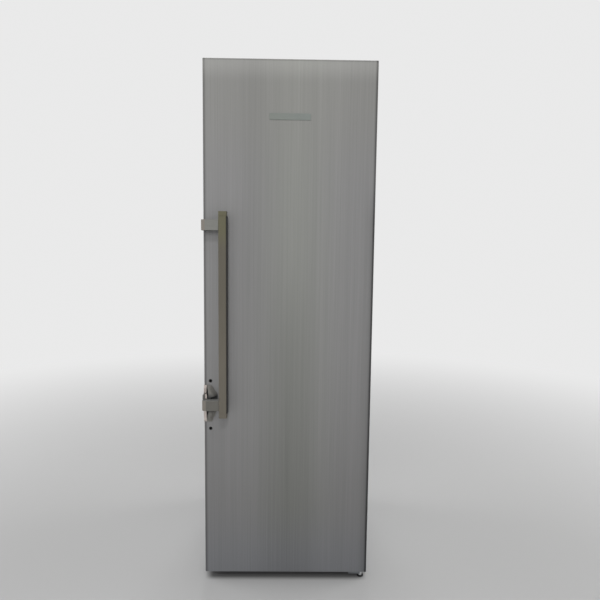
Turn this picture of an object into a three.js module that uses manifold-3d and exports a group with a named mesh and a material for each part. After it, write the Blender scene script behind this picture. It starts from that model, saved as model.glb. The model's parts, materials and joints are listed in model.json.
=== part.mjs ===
// An upright larder refrigerator with one steel door, hinged on the right and opened by a lever handle.
// Millimetres, +Z up, the door's front facing -Y. The floor is z = 0 and the part is centred over the origin.
import * as THREE from 'three';
import { mergeVertices } from 'three/addons/utils/BufferGeometryUtils.js';
import Module from 'manifold-3d';

const wasm = await Module();
wasm.setup();

// Overall sizes
const width = 595;
const height = 1855;
const depth = 630;
const clearance = 0.3;
const sheet = 1;
const overrun = 2;

// Door
const floorGap = 26;
const doorThickness = 62;
const doorEdgeRadius = 4;
const doorLinerSheet = 2;
const doorCapHeight = 16;
const doorCapWall = 3;
const dikeInset = 65;
const dikeWidth = 27;
const dikeRise = 40;
const dikeOuterRadius = 26;
const dikeInnerRadius = 10;
const dikeBottomInset = 84;
const dikeTopInset = 115;
const lugReach = 5;
const lugHeight = 14;
const lugDepth = 22;

// Gasket between the door and the cabinet's front
const gasketGap = 11;
const gasketInset = 20.5;
const gasketWidth = 18;
const gasketNeck = 7;
const gasketFoot = 3;
const gasketHead = 4.5;

// Door hinges
const hingeInset = 20;
const hingeSetback = 32;
const hingePinRadius = 5;
const hingePinReach = 12;
const hingePlate = 2.5;
const hingePlateWidth = 66;
const hingePlateReach = 60;
const hingePlateMargin = 12;
const hingeCoverWall = 1.9;
const hingeCoverMargin = 6;
const lowerPlate = 3.5;
const lowerPlateLeft = 66;
const lowerPlateRight = 8;
const lowerPlateFront = 6;
const lowerLipWidth = 43;
const lowerLipDrop = 11.5;
const bracketFootSetback = 20;

// Badge plate, left bare
const badgeWidth = 141;
const badgeHeight = 22;
const badgeThickness = 1.6;
const badgeDrop = 188;
const badgeRadius = 2;

// Cabinet
const wall = 45;
const cabinetBottom = 44;
const cabinFloor = 95;
const cabinCeilingDrop = 60;
const linerSheet = 2;
const linerLip = 5;
const linerRadius = 15;
const rearWall = 51;
const condenserSpace = 24;
const stepWall = 30;
const stepTop = 285;
const nicheDepth = 181;
const nicheTop = 250;

// Base frame, feet and rollers
const baseBottom = 16;
const baseSheet = 2;
const railWidth = 22;
const railInset = 2;
const crossbarDepth = 32;
const crossbarSetback = 2;
const footInset = 52;
const footRadius = 17;
const footHeight = 8;
const footHex = 9;
const footStudRadius = 5;
const footStudTop = 34;
const bracketFootRadius = 12;
const bracketFootPad = 3;
const bracketFootDome = 6.5;
const bracketFootHeight = 14;
const bracketFootStud = 4;
const rollerRadius = 14;
const rollerWidth = 15;
const rollerSetback = 42;
const rollerInset = 40;
const axleRadius = 3;
const plinthThickness = 3.4;
const plinthBottom = 8;
const plinthInset = 8;
const plinthSlots = 12;
const plinthSlotWidth = 26;
const plinthSlotHeight = 14;

// Cold system
const compressorRadius = 72;
const compressorHeight = 150;
const compressorOffset = 95;
const compressorSetback = 92;
const compressorStand = 12;
const compressorBossRadius = 11;
const compressorFootSpread = 66;
const compressorFootSheet = 3;
const compressorSeam = 3;
const seamShare = 0.75;
const terminalWidth = 46;
const terminalHeight = 58;
const terminalDepth = 52;
const trayLength = 190;
const trayWidth = 116;
const trayHeight = 32;
const trayWall = 2;
const condenserTube = 3;
const condenserRuns = 12;
const condenserHalf = 205;
const condenserBottom = 330;
const condenserDrop = 376;
const condenserWires = 6;
const condenserWire = 2;
const condenserHook = 14;
const pipeRadius = 4;
const evaporatorHalf = 205;
const evaporatorBottom = 720;
const evaporatorDrop = 310;
const evaporatorSheet = 1.6;
const fanDrop = 135;
const fanRadius = 52;
const fanHub = 15;
const fanBlades = 5;
const fanBladeSheet = 1.6;
const fanBladeWidth = 14;
const fanCoverHalf = 72;
const fanCoverDepth = 34;
const fanCoverWall = 2.5;
const fanShaftRadius = 2.5;
const fanSlotHeight = 7;
const fanSlots = 7;

// Controls and light
const panelHeight = 38;
const panelDepth = 46;
const panelSlope = 10;
const panelHalf = 205;
const displayHalf = 46;
const displayHeight = 17;
const displaySheet = 2;
const buttonRadius = 6.5;
const buttonDepth = 6;
const buttonProud = 1.5;
const buttonTravel = 1.2;
const buttonPitch = 26;
const buttonStart = 74;
const buttonNames = ['power_button', 'colder_button', 'fast_cool_button'];
const lightHalf = 140;
const lightDepth = 46;
const lightSheet = 6;
const lightSetback = 120;

// Shelves and rack
const shelfSetback = 112;
const shelfRearGap = 12;
const glassThickness = 4;
const shelfSideGap = 1.5;
const glassShelves = 5;
const lowestGlass = 800;
const highestGlassDrop = 270;
const ribReach = 7;
const ribHeight = 6;
const ribFront = 40;
const rackLevel = 620;
const rackSheet = 3;
const rackTroughs = 5;
const rackRise = 22;
const coverLevel = 446;

// Drawers
const drawerSetback = 99;
const drawerWall = 2.5;
const drawerRadius = 16;
const railReach = 24;
const railThickness = 6;
const rimReach = 10;
const drawerSideGap = 3;
const lowerDrawerBottom = 101;
const lowerDrawerTop = 268;
const drawerStepGap = 15;
const upperDrawerBottom = 294;
const upperDrawerTop = 428;
const drawerRearGap = 14;
const pullHalf = 60;
const pullHeight = 26;

// Door bins
const binDepth = 99;
const binWall = 2.5;
const binSlope = 12;
const binRadius = 14;
const binBackGap = 0.6;
const hookHeight = 10;
const hookSheet = 3;
const bottleBinLevel = 205;
const bottleBinHeight = 128;
const middleBinLevel = 690;
const smallBinHeight = 88;
const dairyBinDrop = 430;
const dairyBinHeight = 104;
const lidSheet = 3;
const lidLip = 16;
const lidPinRadius = 3;
const lidSetback = 8;

// Lever handle on the door's left edge
const handleCentre = 981.5;
const barLength = 712;
const upperArmInset = 45.5;
const lowerArmInset = 42.5;
const barInset = 59.5;
const barWidth = 28;
const barBack = 30;
const barFront = 57;
const barRadius = 5;
const barWall = 2.5;
const barCapHeight = 16;
const barSpigot = 12;
const armHeight = 36;
const armFront = 50;
const armWall = 4.5;
const armCorner = 9;
const armHeel = 10.6;
const armTongue = 84;
const armWeb = 3.7;
const pivotInset = 17;
const pivotProud = 20;
const pivotRadius = 3;
const pivotBoss = 9;
const pivotRise = 37;
const pivotDrop = 29;
const pivotHeadRadius = 5;
const pivotHeadHeight = 2;
const bracketSheet = 3;
const bracketRise = 62;
const bracketFall = 74;
const bracketWidth = 48;
const bracketTip = 30;
const bracketShoulder = 24;
const earGap = 0.6;
const earStart = 13;
const earEnd = 46;
const earProud = 27;
const earTipStart = 18;
const earTipProud = 5;
const earPocketStart = 26;
const earPocketFloor = 7;
const earPocketHeight = 13;
const earLugHeight = 10;
const sideRailWidth = 8;
const sideRailProud = 11;
const slotStart = 9;
const slotWidth = 4.5;
const slotLow = 38;
const slotHigh = 52;
const lugHalf = 7;
const lugEnd = 26;
const forkGap = 0.4;
const forkEnd = 32;
const pusherWidth = 7;
const pusherBottom = 20;
const pusherTop = 34;
const pusherFront = 34;
const pusherTravel = 3.3;
const pusherStop = 0.6;
const pusherPad = 3;
const pusherPadBottom = 10;
const springWire = 1.2;
const springTurns = 3;
const springPitch = 2;
const screwHoleRadius = 5.5;
const screwHoleDepth = 22;
const screwHoleInset = 22.5;
const screwHoleSpacing = 174;
const screwHoleDrop = 10.7;

// Places worked out from the sizes above
const half = width / 2;
const cabinetTop = height - hingeCoverWall - hingePlate - 2 * clearance;
const doorTop = cabinetTop;
const cabinetFront = doorThickness + gasketGap;
const rearFace = depth - condenserSpace;
const cabinHalf = half - wall;
const cabinRear = rearFace - rearWall - linerSheet;
const nicheFront = rearFace - nicheDepth;
const stepFront = nicheFront - stepWall;
const lowerDrawerRear = stepFront - drawerStepGap;
const cabinCeiling = cabinetTop - cabinCeilingDrop;
const insideSheet = sheet + clearance;
const hingeX = half - hingeInset;
const doorRear = doorThickness - doorLinerSheet;
const dikeOuter = half - dikeInset;
const dikeInner = dikeOuter - dikeWidth;
const dikeBottom = floorGap + dikeBottomInset;
const dikeTop = doorTop - dikeTopInset;
const upperArmZ = handleCentre + barLength / 2 - upperArmInset;
const lowerArmZ = handleCentre - barLength / 2 + lowerArmInset;
const armHalf = armHeight / 2;
const fanHeight = cabinCeiling - fanDrop;
const evaporatorTop = cabinCeiling - evaporatorDrop;
const condenserPitch = (cabinetTop - condenserDrop - condenserBottom) / (condenserRuns - 1);
const glassPitch = (cabinCeiling - highestGlassDrop - lowestGlass) / (glassShelves - 1);
const glassLevels = Array.from({ length: glassShelves }, (_, i) => lowestGlass + i * glassPitch);
const dairyBinLevel = doorTop - dairyBinDrop;
const upperBinLevel = (middleBinLevel + dairyBinLevel) / 2;
const crossbarFront = cabinetFront + crossbarSetback;
const drawerFront = cabinetFront + drawerSetback;

const group = new THREE.Group();

// Solids and operations

function solid(geometry) {
  const bare = geometry.clone();
  bare.deleteAttribute('normal');
  bare.deleteAttribute('uv');
  const merged = mergeVertices(bare);
  const source = merged.index.array;
  const corners = [];
  for (let i = 0; i < source.length; i += 3) {
    const [a, b, c] = source.slice(i, i + 3);
    if (a !== b && b !== c && c !== a) corners.push(a, b, c);
  }
  return new wasm.Manifold(new wasm.Mesh({
    numProp: 3,
    vertProperties: new Float32Array(merged.attributes.position.array),
    triVerts: new Uint32Array(corners),
  }));
}

function geometryOf(body) {
  const mesh = body.getMesh();
  const geometry = new THREE.BufferGeometry();
  geometry.setAttribute('position', new THREE.BufferAttribute(mesh.vertProperties, 3));
  geometry.setIndex(new THREE.BufferAttribute(mesh.triVerts, 1));
  geometry.computeVertexNormals();
  return geometry;
}

function join(first, ...others) {
  return others.reduce((sum, next) => sum.add(next), first);
}

function cut(first, ...others) {
  return others.reduce((sum, next) => sum.subtract(next), first);
}

// A box between two corners.
function box(x0, x1, y0, y1, z0, z1) {
  const geometry = new THREE.BoxGeometry(x1 - x0, y1 - y0, z1 - z0);
  geometry.translate((x0 + x1) / 2, (y0 + y1) / 2, (z0 + z1) / 2);
  return solid(geometry);
}

// A box that is centred on x = 0.
function slab(halfX, y0, y1, z0, z1) {
  return box(-halfX, halfX, y0, y1, z0, z1);
}

function outline(points) {
  return new THREE.Shape(points.map(([a, b]) => new THREE.Vector2(a, b)));
}

function extruded(shape, length) {
  return new THREE.ExtrudeGeometry(shape, { depth: length, bevelEnabled: false, curveSegments: 4 });
}

// A plan outline in x and y, carried up from z0 to z1.
function upright(shape, z0, z1) {
  const geometry = extruded(shape, z1 - z0);
  geometry.translate(0, 0, z0);
  return solid(geometry);
}

// A side outline in y and z, carried across from x0 to x1.
function across(shape, x0, x1) {
  const geometry = extruded(shape, x1 - x0);
  geometry.applyMatrix4(new THREE.Matrix4().set(0, 0, 1, x0, 1, 0, 0, 0, 0, 1, 0, 0, 0, 0, 0, 1));
  return solid(geometry);
}

// A front outline in x and z, carried back from y0 to y1.
function back(shape, y0, y1) {
  const geometry = extruded(shape, y1 - y0);
  geometry.applyMatrix4(new THREE.Matrix4().set(1, 0, 0, 0, 0, 0, -1, y1, 0, 1, 0, 0, 0, 0, 0, 1));
  return solid(geometry);
}

function roundedRectangle(x0, x1, y0, y1, radius) {
  const shape = new THREE.Shape();
  shape.moveTo(x0 + radius, y0);
  shape.lineTo(x1 - radius, y0);
  shape.absarc(x1 - radius, y0 + radius, radius, -Math.PI / 2, 0);
  shape.lineTo(x1, y1 - radius);
  shape.absarc(x1 - radius, y1 - radius, radius, 0, Math.PI / 2);
  shape.lineTo(x0 + radius, y1);
  shape.absarc(x0 + radius, y1 - radius, radius, Math.PI / 2, Math.PI);
  shape.lineTo(x0, y0 + radius);
  shape.absarc(x0 + radius, y0 + radius, radius, Math.PI, Math.PI * 3 / 2);
  return shape;
}

// A round bar along z, y or x, about its own axis.
function postZ(radius, x, y, z0, z1, sides = 16) {
  const geometry = new THREE.CylinderGeometry(radius, radius, z1 - z0, sides);
  geometry.rotateX(Math.PI / 2);
  geometry.translate(x, y, (z0 + z1) / 2);
  return solid(geometry);
}

function postY(radius, x, z, y0, y1, sides = 16) {
  const geometry = new THREE.CylinderGeometry(radius, radius, y1 - y0, sides);
  geometry.translate(x, (y0 + y1) / 2, z);
  return solid(geometry);
}

function postX(radius, y, z, x0, x1, sides = 16) {
  const geometry = new THREE.CylinderGeometry(radius, radius, x1 - x0, sides);
  geometry.rotateZ(Math.PI / 2);
  geometry.translate((x0 + x1) / 2, y, z);
  return solid(geometry);
}

// A square-cornered frame in the plane of the door: the outer half width, its bottom and top, and the bar's width.
function frameRing(outer, z0, z1, bar, y0, y1) {
  const window = slab(outer - bar, y0 - overrun, y1 + overrun, z0 + bar, z1 - bar);
  return cut(slab(outer, y0, y1, z0, z1), window);
}

// A round tube along a curve.
function tube(path, radius, steps, sides) {
  const circle = new THREE.Shape();
  circle.absarc(0, 0, radius, 0, Math.PI * 2);
  const section = new THREE.Shape(circle.getPoints(sides).slice(0, sides));
  return solid(new THREE.ExtrudeGeometry(section, { extrudePath: path, steps, bevelEnabled: false }));
}

function add(name, body, color, roughness, metalness) {
  const material = new THREE.MeshStandardMaterial({ color, roughness, metalness });
  const mesh = new THREE.Mesh(geometryOf(body), material);
  mesh.name = name;
  group.add(mesh);
}

// Door

// The door's plan with its rounded front corners, drawn in from the outside by an inset.
function doorPlan(inset, y1) {
  const radius = doorEdgeRadius - inset;
  const shape = new THREE.Shape();
  shape.moveTo(-half + inset, y1);
  shape.lineTo(-half + inset, doorEdgeRadius);
  shape.absarc(-half + doorEdgeRadius, doorEdgeRadius, radius, Math.PI, Math.PI * 3 / 2);
  shape.lineTo(half - doorEdgeRadius, inset);
  shape.absarc(half - doorEdgeRadius, doorEdgeRadius, radius, -Math.PI / 2, 0);
  shape.lineTo(half - inset, y1);
  return shape;
}

// The channel in the door's left edge that the pusher runs in.
function pusherChannel() {
  const right = -half + pusherWidth + clearance;
  const z0 = lowerArmZ + pusherBottom - clearance;
  const z1 = lowerArmZ + pusherTop + clearance;
  return box(-half - overrun, right, -pusherFront, doorThickness + overrun, z0, z1);
}

// The two screw holes that a longer handle bracket would use.
function screwHoles(depthIn) {
  const centre = lowerArmZ - screwHoleDrop;
  const places = [centre - screwHoleSpacing / 2, centre + screwHoleSpacing / 2];
  return places.map((z) => postY(screwHoleRadius, -half + screwHoleInset, z, -overrun, depthIn, 12));
}

function doorSkin() {
  const outer = upright(doorPlan(0, doorThickness), floorGap, doorTop);
  const inner = upright(doorPlan(sheet, doorThickness + overrun), floorGap - overrun, doorTop + overrun);
  return cut(outer, inner, pusherChannel(), ...screwHoles(sheet + overrun));
}

// The frame of the liner that stands into the cabinet, with rounded corners, drawn in by an inset.
function dike(inset, y0, y1) {
  const ring = (half0, margin, radius, start, end) => back(roundedRectangle(
    -half0, half0, dikeBottom + margin, dikeTop - margin, radius), start, end);
  const outer = ring(dikeOuter - inset, inset, dikeOuterRadius - inset, y0, y1);
  const margin = dikeWidth - inset;
  const window = ring(dikeOuter - margin, margin, dikeInnerRadius + inset, y0 - overrun, y1 + overrun);
  return cut(outer, window);
}

function doorInsulation() {
  const z0 = floorGap + doorCapHeight + clearance;
  const z1 = doorTop - doorCapHeight - clearance;
  const core = upright(doorPlan(insideSheet, doorRear - clearance), z0, z1);
  const ridge = dike(doorLinerSheet + clearance, doorRear - overrun, doorThickness + dikeRise - doorLinerSheet - clearance);
  return cut(join(core, ridge), pusherChannel(), ...screwHoles(screwHoleDepth));
}

// Each bin hangs by its hooks on a pair of lugs.
function lugPair(level) {
  const y0 = doorThickness - clearance;
  const y1 = doorThickness + lugDepth;
  const top = level - hookHeight - clearance;
  return [
    box(-dikeInner - clearance, -dikeInner + lugReach, y0, y1, top - lugHeight, top),
    box(dikeInner - lugReach, dikeInner + clearance, y0, y1, top - lugHeight, top),
  ];
}

function binTops() {
  return [
    bottleBinLevel + bottleBinHeight,
    middleBinLevel + smallBinHeight,
    upperBinLevel + smallBinHeight,
    dairyBinLevel + dairyBinHeight,
  ];
}

function doorLiner() {
  const plate = slab(half - insideSheet, doorRear, doorThickness, floorGap + clearance, doorTop - clearance);
  const shell = join(plate, dike(0, doorThickness - clearance, doorThickness + dikeRise));
  const core = dike(doorLinerSheet, doorRear - overrun, doorThickness + dikeRise - doorLinerSheet);
  const lugs = binTops().flatMap(lugPair);
  return cut(join(cut(shell, core), ...lugs), pusherChannel());
}

function doorGasket() {
  const outer = half - gasketInset;
  const z0 = floorGap + gasketInset;
  const z1 = doorTop - gasketInset;
  const y0 = doorThickness + clearance;
  const y1 = cabinetFront - clearance;
  const inset = (gasketWidth - gasketNeck) / 2;
  return join(
    frameRing(outer, z0, z1, gasketWidth, y0, y0 + gasketFoot),
    frameRing(outer - inset, z0 + inset, z1 - inset, gasketNeck, y0 + gasketFoot - clearance, y1 - clearance),
    frameRing(outer, z0, z1, gasketWidth, y1 - gasketHead, y1),
  );
}

// A moulded cap that closes the door's end, hollow towards the foam, with a boss round the hinge pin's bore.
function doorCap(outside, inside) {
  const low = Math.min(outside, inside);
  const high = Math.max(outside, inside);
  const toFoam = Math.sign(inside - outside);
  const tray = upright(doorPlan(insideSheet, doorRear - clearance), low, high);
  const hollowFloor = outside + toFoam * doorCapWall;
  const hollowEnd = inside + toFoam * overrun;
  const margin = insideSheet + doorCapWall;
  const hollow = box(-half + margin, half - margin, margin, doorRear - clearance - doorCapWall,
    Math.min(hollowFloor, hollowEnd), Math.max(hollowFloor, hollowEnd));
  const boss = postZ(hingePinRadius + doorCapWall, hingeX, hingeSetback, low, high);
  const bore = postZ(hingePinRadius + clearance, hingeX, hingeSetback, low - overrun, high + overrun);
  return cut(join(cut(tray, hollow), boss), bore);
}

function badgePlate() {
  const z = doorTop - badgeDrop;
  const shape = roundedRectangle(-badgeWidth / 2, badgeWidth / 2, z - badgeHeight / 2, z + badgeHeight / 2, badgeRadius);
  return back(shape, -clearance - badgeThickness, -clearance);
}

add('door_skin', doorSkin(), 0x8c8e8f, 0.38, 0.9);
add('door_insulation', doorInsulation(), 0xd9c98f, 0.95, 0);
add('door_liner', doorLiner(), 0xf1f2f1, 0.45, 0);
add('door_gasket', doorGasket(), 0x9a9c9c, 0.8, 0);
add('door_top_cap', doorCap(doorTop, doorTop - doorCapHeight), 0x6f7173, 0.55, 0);
add('door_bottom_cap', doorCap(floorGap, floorGap + doorCapHeight), 0x6f7173, 0.55, 0);
add('badge_plate', badgePlate(), 0x858a86, 0.35, 0.8);

// Door bins

// A bin's side outline in y and z, with its leaning front, drawn in by an inset.
function binSection(level, rise, inset) {
  const y0 = doorThickness + binBackGap;
  const y1 = y0 + binDepth;
  return outline([
    [y0 + inset, level + rise + (inset > 0 ? overrun : 0)],
    [y0 + inset, level + inset],
    [y1 - binSlope * 2 - inset, level + inset],
    [y1 - binSlope - inset, level + binSlope + inset],
    [y1 - inset, level + rise + (inset > 0 ? overrun : 0)],
  ]);
}

// A bin's plan, with rounded corners in front, drawn in by an inset.
function binPlan(inset, level, rise) {
  const side = dikeInner - lugReach - clearance - inset;
  const front = doorThickness + binBackGap + binDepth - inset;
  const plan = roundedRectangle(-side, side, doorThickness - binRadius * 2, front, binRadius - inset);
  return upright(plan, level - overrun, level + rise + overrun * 2);
}

function bin(level, rise) {
  const end = dikeInner - lugReach - clearance;
  const shell = cut(
    across(binSection(level, rise, 0), -end, end).intersect(binPlan(0, level, rise)),
    across(binSection(level, rise, binWall), -end + binWall, end - binWall).intersect(binPlan(binWall, level, rise)),
  );
  const top = level + rise;
  const y0 = doorThickness + binBackGap;
  const reach = dikeInner - 2 * clearance;
  const hooks = [
    box(-reach, -end + clearance, y0, y0 + lugDepth, top - hookHeight, top - hookHeight + hookSheet),
    box(end - clearance, reach, y0, y0 + lugDepth, top - hookHeight, top - hookHeight + hookSheet),
  ];
  return join(shell, ...hooks);
}

// The dairy bin carries two ears for its lid's pins.
const lidAxisY = doorThickness + binBackGap + lidSetback;
const lidAxisZ = dairyBinLevel + dairyBinHeight + lidSetback;

function dairyBin() {
  const end = dikeInner - lugReach - clearance;
  const top = dairyBinLevel + dairyBinHeight;
  const ear = (x0, x1) => box(x0, x1, lidAxisY - lidSetback, lidAxisY + lidSetback, top - binWall, lidAxisZ + lidSetback);
  const ears = join(bin(dairyBinLevel, dairyBinHeight), ear(-end, -end + binWall), ear(end - binWall, end));
  return cut(ears, postX(lidPinRadius + clearance, lidAxisY, lidAxisZ, -half, half, 12));
}

// The lid lies over the bin with its lip in front of the bin's face, and its pins sit in the ears.
function dairyLid() {
  const end = dikeInner - lugReach - clearance;
  const inner = end - binWall - clearance;
  const top = dairyBinLevel + dairyBinHeight + clearance;
  const front = doorThickness + binBackGap + binDepth;
  const section = outline([
    [lidAxisY - lidPinRadius, lidAxisZ],
    [lidAxisY + lidPinRadius, lidAxisZ + lidPinRadius],
    [lidAxisY + lidSetback + lidPinRadius, top + lidSheet],
    [front + lidSheet + clearance, top + lidSheet],
    [front + lidSheet + clearance, top - lidLip],
    [front + clearance, top - lidLip],
    [front + clearance, top],
    [lidAxisY + lidSetback, top],
    [lidAxisY, lidAxisZ - lidPinRadius],
  ]);
  const pin = postX(lidPinRadius, lidAxisY, lidAxisZ, -end + clearance, end - clearance, 12);
  const rounding = binPlan(-lidSheet - clearance, dairyBinLevel, dairyBinHeight + lidSetback * 2);
  return join(across(section, -inner, inner).intersect(rounding), pin);
}

const binColor = 0xdfe6e8;
add('bottle_bin', bin(bottleBinLevel, bottleBinHeight), binColor, 0.15, 0);
add('middle_door_bin', bin(middleBinLevel, smallBinHeight), binColor, 0.15, 0);
add('upper_door_bin', bin(upperBinLevel, smallBinHeight), binColor, 0.15, 0);
add('dairy_bin', dairyBin(), binColor, 0.15, 0);
add('dairy_lid', dairyLid(), binColor, 0.15, 0);

// Lever handle. Places are given from the door's left edge and out from its front.

function fromEdge(inward, proud) {
  return [-half + inward, -proud];
}

// A block by its distances from the door's left edge, out from its front and above an arm's centre.
function edgeBlock(in0, in1, out0, out1, z0, z1) {
  return box(-half + in0, -half + in1, -out1, -out0, z0, z1);
}

function barSection(inset) {
  const [x0, y1] = fromEdge(barInset, barBack);
  const [x1, y0] = fromEdge(barInset + barWidth, barFront);
  return roundedRectangle(x0 + inset, x1 - inset, y0 + inset, y1 - inset, barRadius - inset);
}

const barBottom = handleCentre - barLength / 2 + barCapHeight + clearance;
const barTop = handleCentre + barLength / 2 - barCapHeight - clearance;

function handleBar() {
  const inner = upright(barSection(barWall), barBottom - overrun, barTop + overrun);
  return cut(upright(barSection(0), barBottom, barTop), inner);
}

function barCap(end, start) {
  const inward = Math.sign(start - end);
  const spigotEnd = start + inward * (clearance + barSpigot);
  const head = upright(barSection(0), Math.min(end, start), Math.max(end, start));
  const low = Math.min(spigotEnd, start - inward * clearance);
  const high = Math.max(spigotEnd, start - inward * clearance);
  return join(head, upright(barSection(barWall + clearance), low, high));
}

// The arm in plan: a hooked wall round the door's edge, a boss round the pin and a tongue behind the bar.
function armPlan() {
  const shape = new THREE.Shape();
  const to = (inward, proud) => shape.lineTo(...fromEdge(inward, proud));
  const [cornerX, cornerY] = fromEdge(armCorner, armFront - armCorner);
  const [bossX, bossY] = fromEdge(pivotInset, pivotProud);
  const bossEnd = Math.asin((pivotProud - barBack + clearance + armWeb) / pivotBoss);
  shape.moveTo(...fromEdge(0, armHeel));
  to(0, armFront - armCorner);
  shape.absarc(cornerX, cornerY, armCorner, Math.PI, Math.PI * 3 / 2);
  to(barInset - clearance, armFront);
  to(barInset - clearance, armFront - armWall);
  to(armCorner, armFront - armWall);
  shape.absarc(cornerX, cornerY, armCorner - armWall, Math.PI * 3 / 2, Math.PI, true);
  to(armWall, barBack - clearance);
  to(armTongue, barBack - clearance);
  to(armTongue, barBack - clearance - armWeb);
  shape.absarc(bossX, bossY, pivotBoss, bossEnd, Math.PI / 2);
  return shape;
}

// The web that closes an arm's top between its wall and its tongue.
function armTop(centre) {
  return edgeBlock(armWall / 2, barInset - clearance, barBack - armWeb, armFront - armWall / 2,
    centre + armHalf - armWeb, centre + armHalf);
}

function lowerArm() {
  const body = join(upright(armPlan(), lowerArmZ - armHalf, lowerArmZ + armHalf), armTop(lowerArmZ));
  const [x, y] = fromEdge(pivotInset, pivotProud);
  return cut(body, postZ(pivotRadius + clearance, x, y, lowerArmZ - armHeight, lowerArmZ + armHeight, 12));
}

// The upper arm is forked round its bracket's lug.
function upperArm() {
  const body = join(upright(armPlan(), upperArmZ - armHalf, upperArmZ + armHalf), armTop(upperArmZ));
  const [x, y] = fromEdge(pivotInset, pivotProud);
  const bore = postZ(pivotRadius + clearance, x, y, upperArmZ - armHeight, upperArmZ + armHeight, 12);
  const fork = lugHalf + forkGap;
  const slot = edgeBlock(-overrun, forkEnd, 0, barBack - clearance - forkGap, upperArmZ - fork, upperArmZ + fork);
  const relief = edgeBlock(armWall, forkEnd, 0, barBack + overrun, upperArmZ - fork, upperArmZ + fork);
  return cut(body, bore, slot, relief);
}

function upperBracket() {
  const plate = edgeBlock(armWall, bracketTip + armWall, clearance, clearance + bracketSheet,
    upperArmZ - armHalf + clearance, upperArmZ + armHalf - clearance);
  const lug = edgeBlock(slotStart, lugEnd, bracketSheet, barBack - armWeb, upperArmZ - lugHalf, upperArmZ + lugHalf);
  const [x, y] = fromEdge(pivotInset, pivotProud);
  const bore = postZ(pivotRadius + clearance, x, y, upperArmZ - armHeight, upperArmZ + armHeight, 12);
  return cut(join(plate, lug), bore);
}

// A tapering ear of the lower bracket: wide and proud beside the arm, thin at its tip.
function ear(side) {
  const near = lowerArmZ + side * (armHalf + earGap);
  const reach = side > 0 ? bracketRise : bracketFall;
  const far = lowerArmZ + side * (reach - bracketSheet);
  const corners = [
    [earStart, bracketSheet, near], [earEnd, bracketSheet, near], [earEnd, earProud, near], [earStart, earProud, near],
    [earTipStart, bracketSheet, far], [bracketTip, bracketSheet, far],
    [bracketTip, earTipProud, far], [earTipStart, earTipProud, far],
  ];
  const places = corners.flatMap(([inward, proud, z]) => [...fromEdge(inward, proud), z]);
  const sides = [0, 1, 2, 0, 2, 3, 4, 6, 5, 4, 7, 6, 0, 5, 1, 0, 4, 5, 1, 6, 2, 1, 5, 6, 2, 7, 3, 2, 6, 7, 3, 4, 0, 3, 7, 4];
  const facing = side > 0 ? sides : sides.map((v, i) => sides[i - (i % 3) + [0, 2, 1][i % 3]]);
  const geometry = new THREE.BufferGeometry();
  geometry.setAttribute('position', new THREE.BufferAttribute(new Float32Array(places), 3));
  geometry.setIndex(facing);
  return solid(geometry);
}

function pocket(side) {
  const near = lowerArmZ + side * armHalf;
  const far = near + side * earPocketHeight;
  return edgeBlock(earPocketStart, bracketWidth + overrun, earPocketFloor, barBack,
    Math.min(near, far), Math.max(near, far));
}

function springSlot(side) {
  const a = lowerArmZ + side * slotLow;
  const b = lowerArmZ + side * slotHigh;
  return edgeBlock(slotStart, slotStart + slotWidth, -overrun, bracketSheet + overrun, Math.min(a, b), Math.max(a, b));
}

// The raised rail along the door's edge, above the pusher or below the arm, sloped off at its far end.
function sideRail(side) {
  const near = lowerArmZ + (side > 0 ? pusherTop + clearance : -armHalf - earGap);
  const far = lowerArmZ + side * (side > 0 ? bracketRise : bracketFall);
  const section = [
    [-bracketSheet, near], [-sideRailProud, near], [-sideRailProud, far - side * sideRailProud], [-bracketSheet, far],
  ];
  return across(outline(side > 0 ? section.reverse() : section), -half, -half + sideRailWidth);
}

function lowerBracket() {
  const at = (inward, rise) => [-half + inward, lowerArmZ + rise];
  const plate = back(outline([
    at(0, -bracketFall), at(bracketTip, -bracketFall), at(bracketWidth, -bracketShoulder),
    at(bracketWidth, bracketShoulder), at(bracketTip, bracketRise), at(0, bracketRise),
  ]), -clearance - bracketSheet, -clearance);
  const [x, y] = fromEdge(pivotInset, pivotProud);
  const lug = (side) => {
    const near = lowerArmZ + side * (armHalf + earGap);
    const far = near + side * earLugHeight;
    return postZ(pivotBoss - clearance, x, y, Math.min(near, far), Math.max(near, far));
  };
  const bore = postZ(pivotRadius + clearance, x, y, lowerArmZ - bracketFall, lowerArmZ + bracketRise, 12);
  const body = cut(join(plate, ear(1), ear(-1), sideRail(1), sideRail(-1)),
    pocket(1), pocket(-1), springSlot(1), springSlot(-1));
  return cut(join(body, lug(1), lug(-1)), bore, pusherChannel(), aboveLug());
}

// The upper ear is cut away over its lug, where the spring is wound round the pin.
function aboveLug() {
  const z0 = lowerArmZ + armHalf + earGap + earLugHeight;
  return edgeBlock(0, earPocketStart, bracketSheet + earTipProud, barBack + overrun, z0, lowerArmZ + bracketRise);
}

function pivotPin(centre, rise, drop, headed) {
  const [x, y] = fromEdge(pivotInset, pivotProud);
  const shaft = postZ(pivotRadius, x, y, centre - drop, centre + rise, 12);
  if (!headed) return shaft;
  const head = postZ(pivotHeadRadius, x, y, centre + rise - clearance, centre + rise + pivotHeadHeight, 12);
  return join(shaft, head);
}

// The pusher: a flat rod through the door's edge, with a pad behind the arm's heel.
const pusherRear = cabinetFront - pusherTravel - pusherStop;

function pusher() {
  const rod = edgeBlock(0, pusherWidth, -pusherRear, pusherFront, lowerArmZ + pusherBottom, lowerArmZ + pusherTop);
  const padFront = armHeel - clearance;
  const pad = edgeBlock(0, pusherWidth, padFront - pusherPad, padFront, lowerArmZ - pusherPadBottom, lowerArmZ + pusherTop);
  return join(rod, pad);
}

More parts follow.
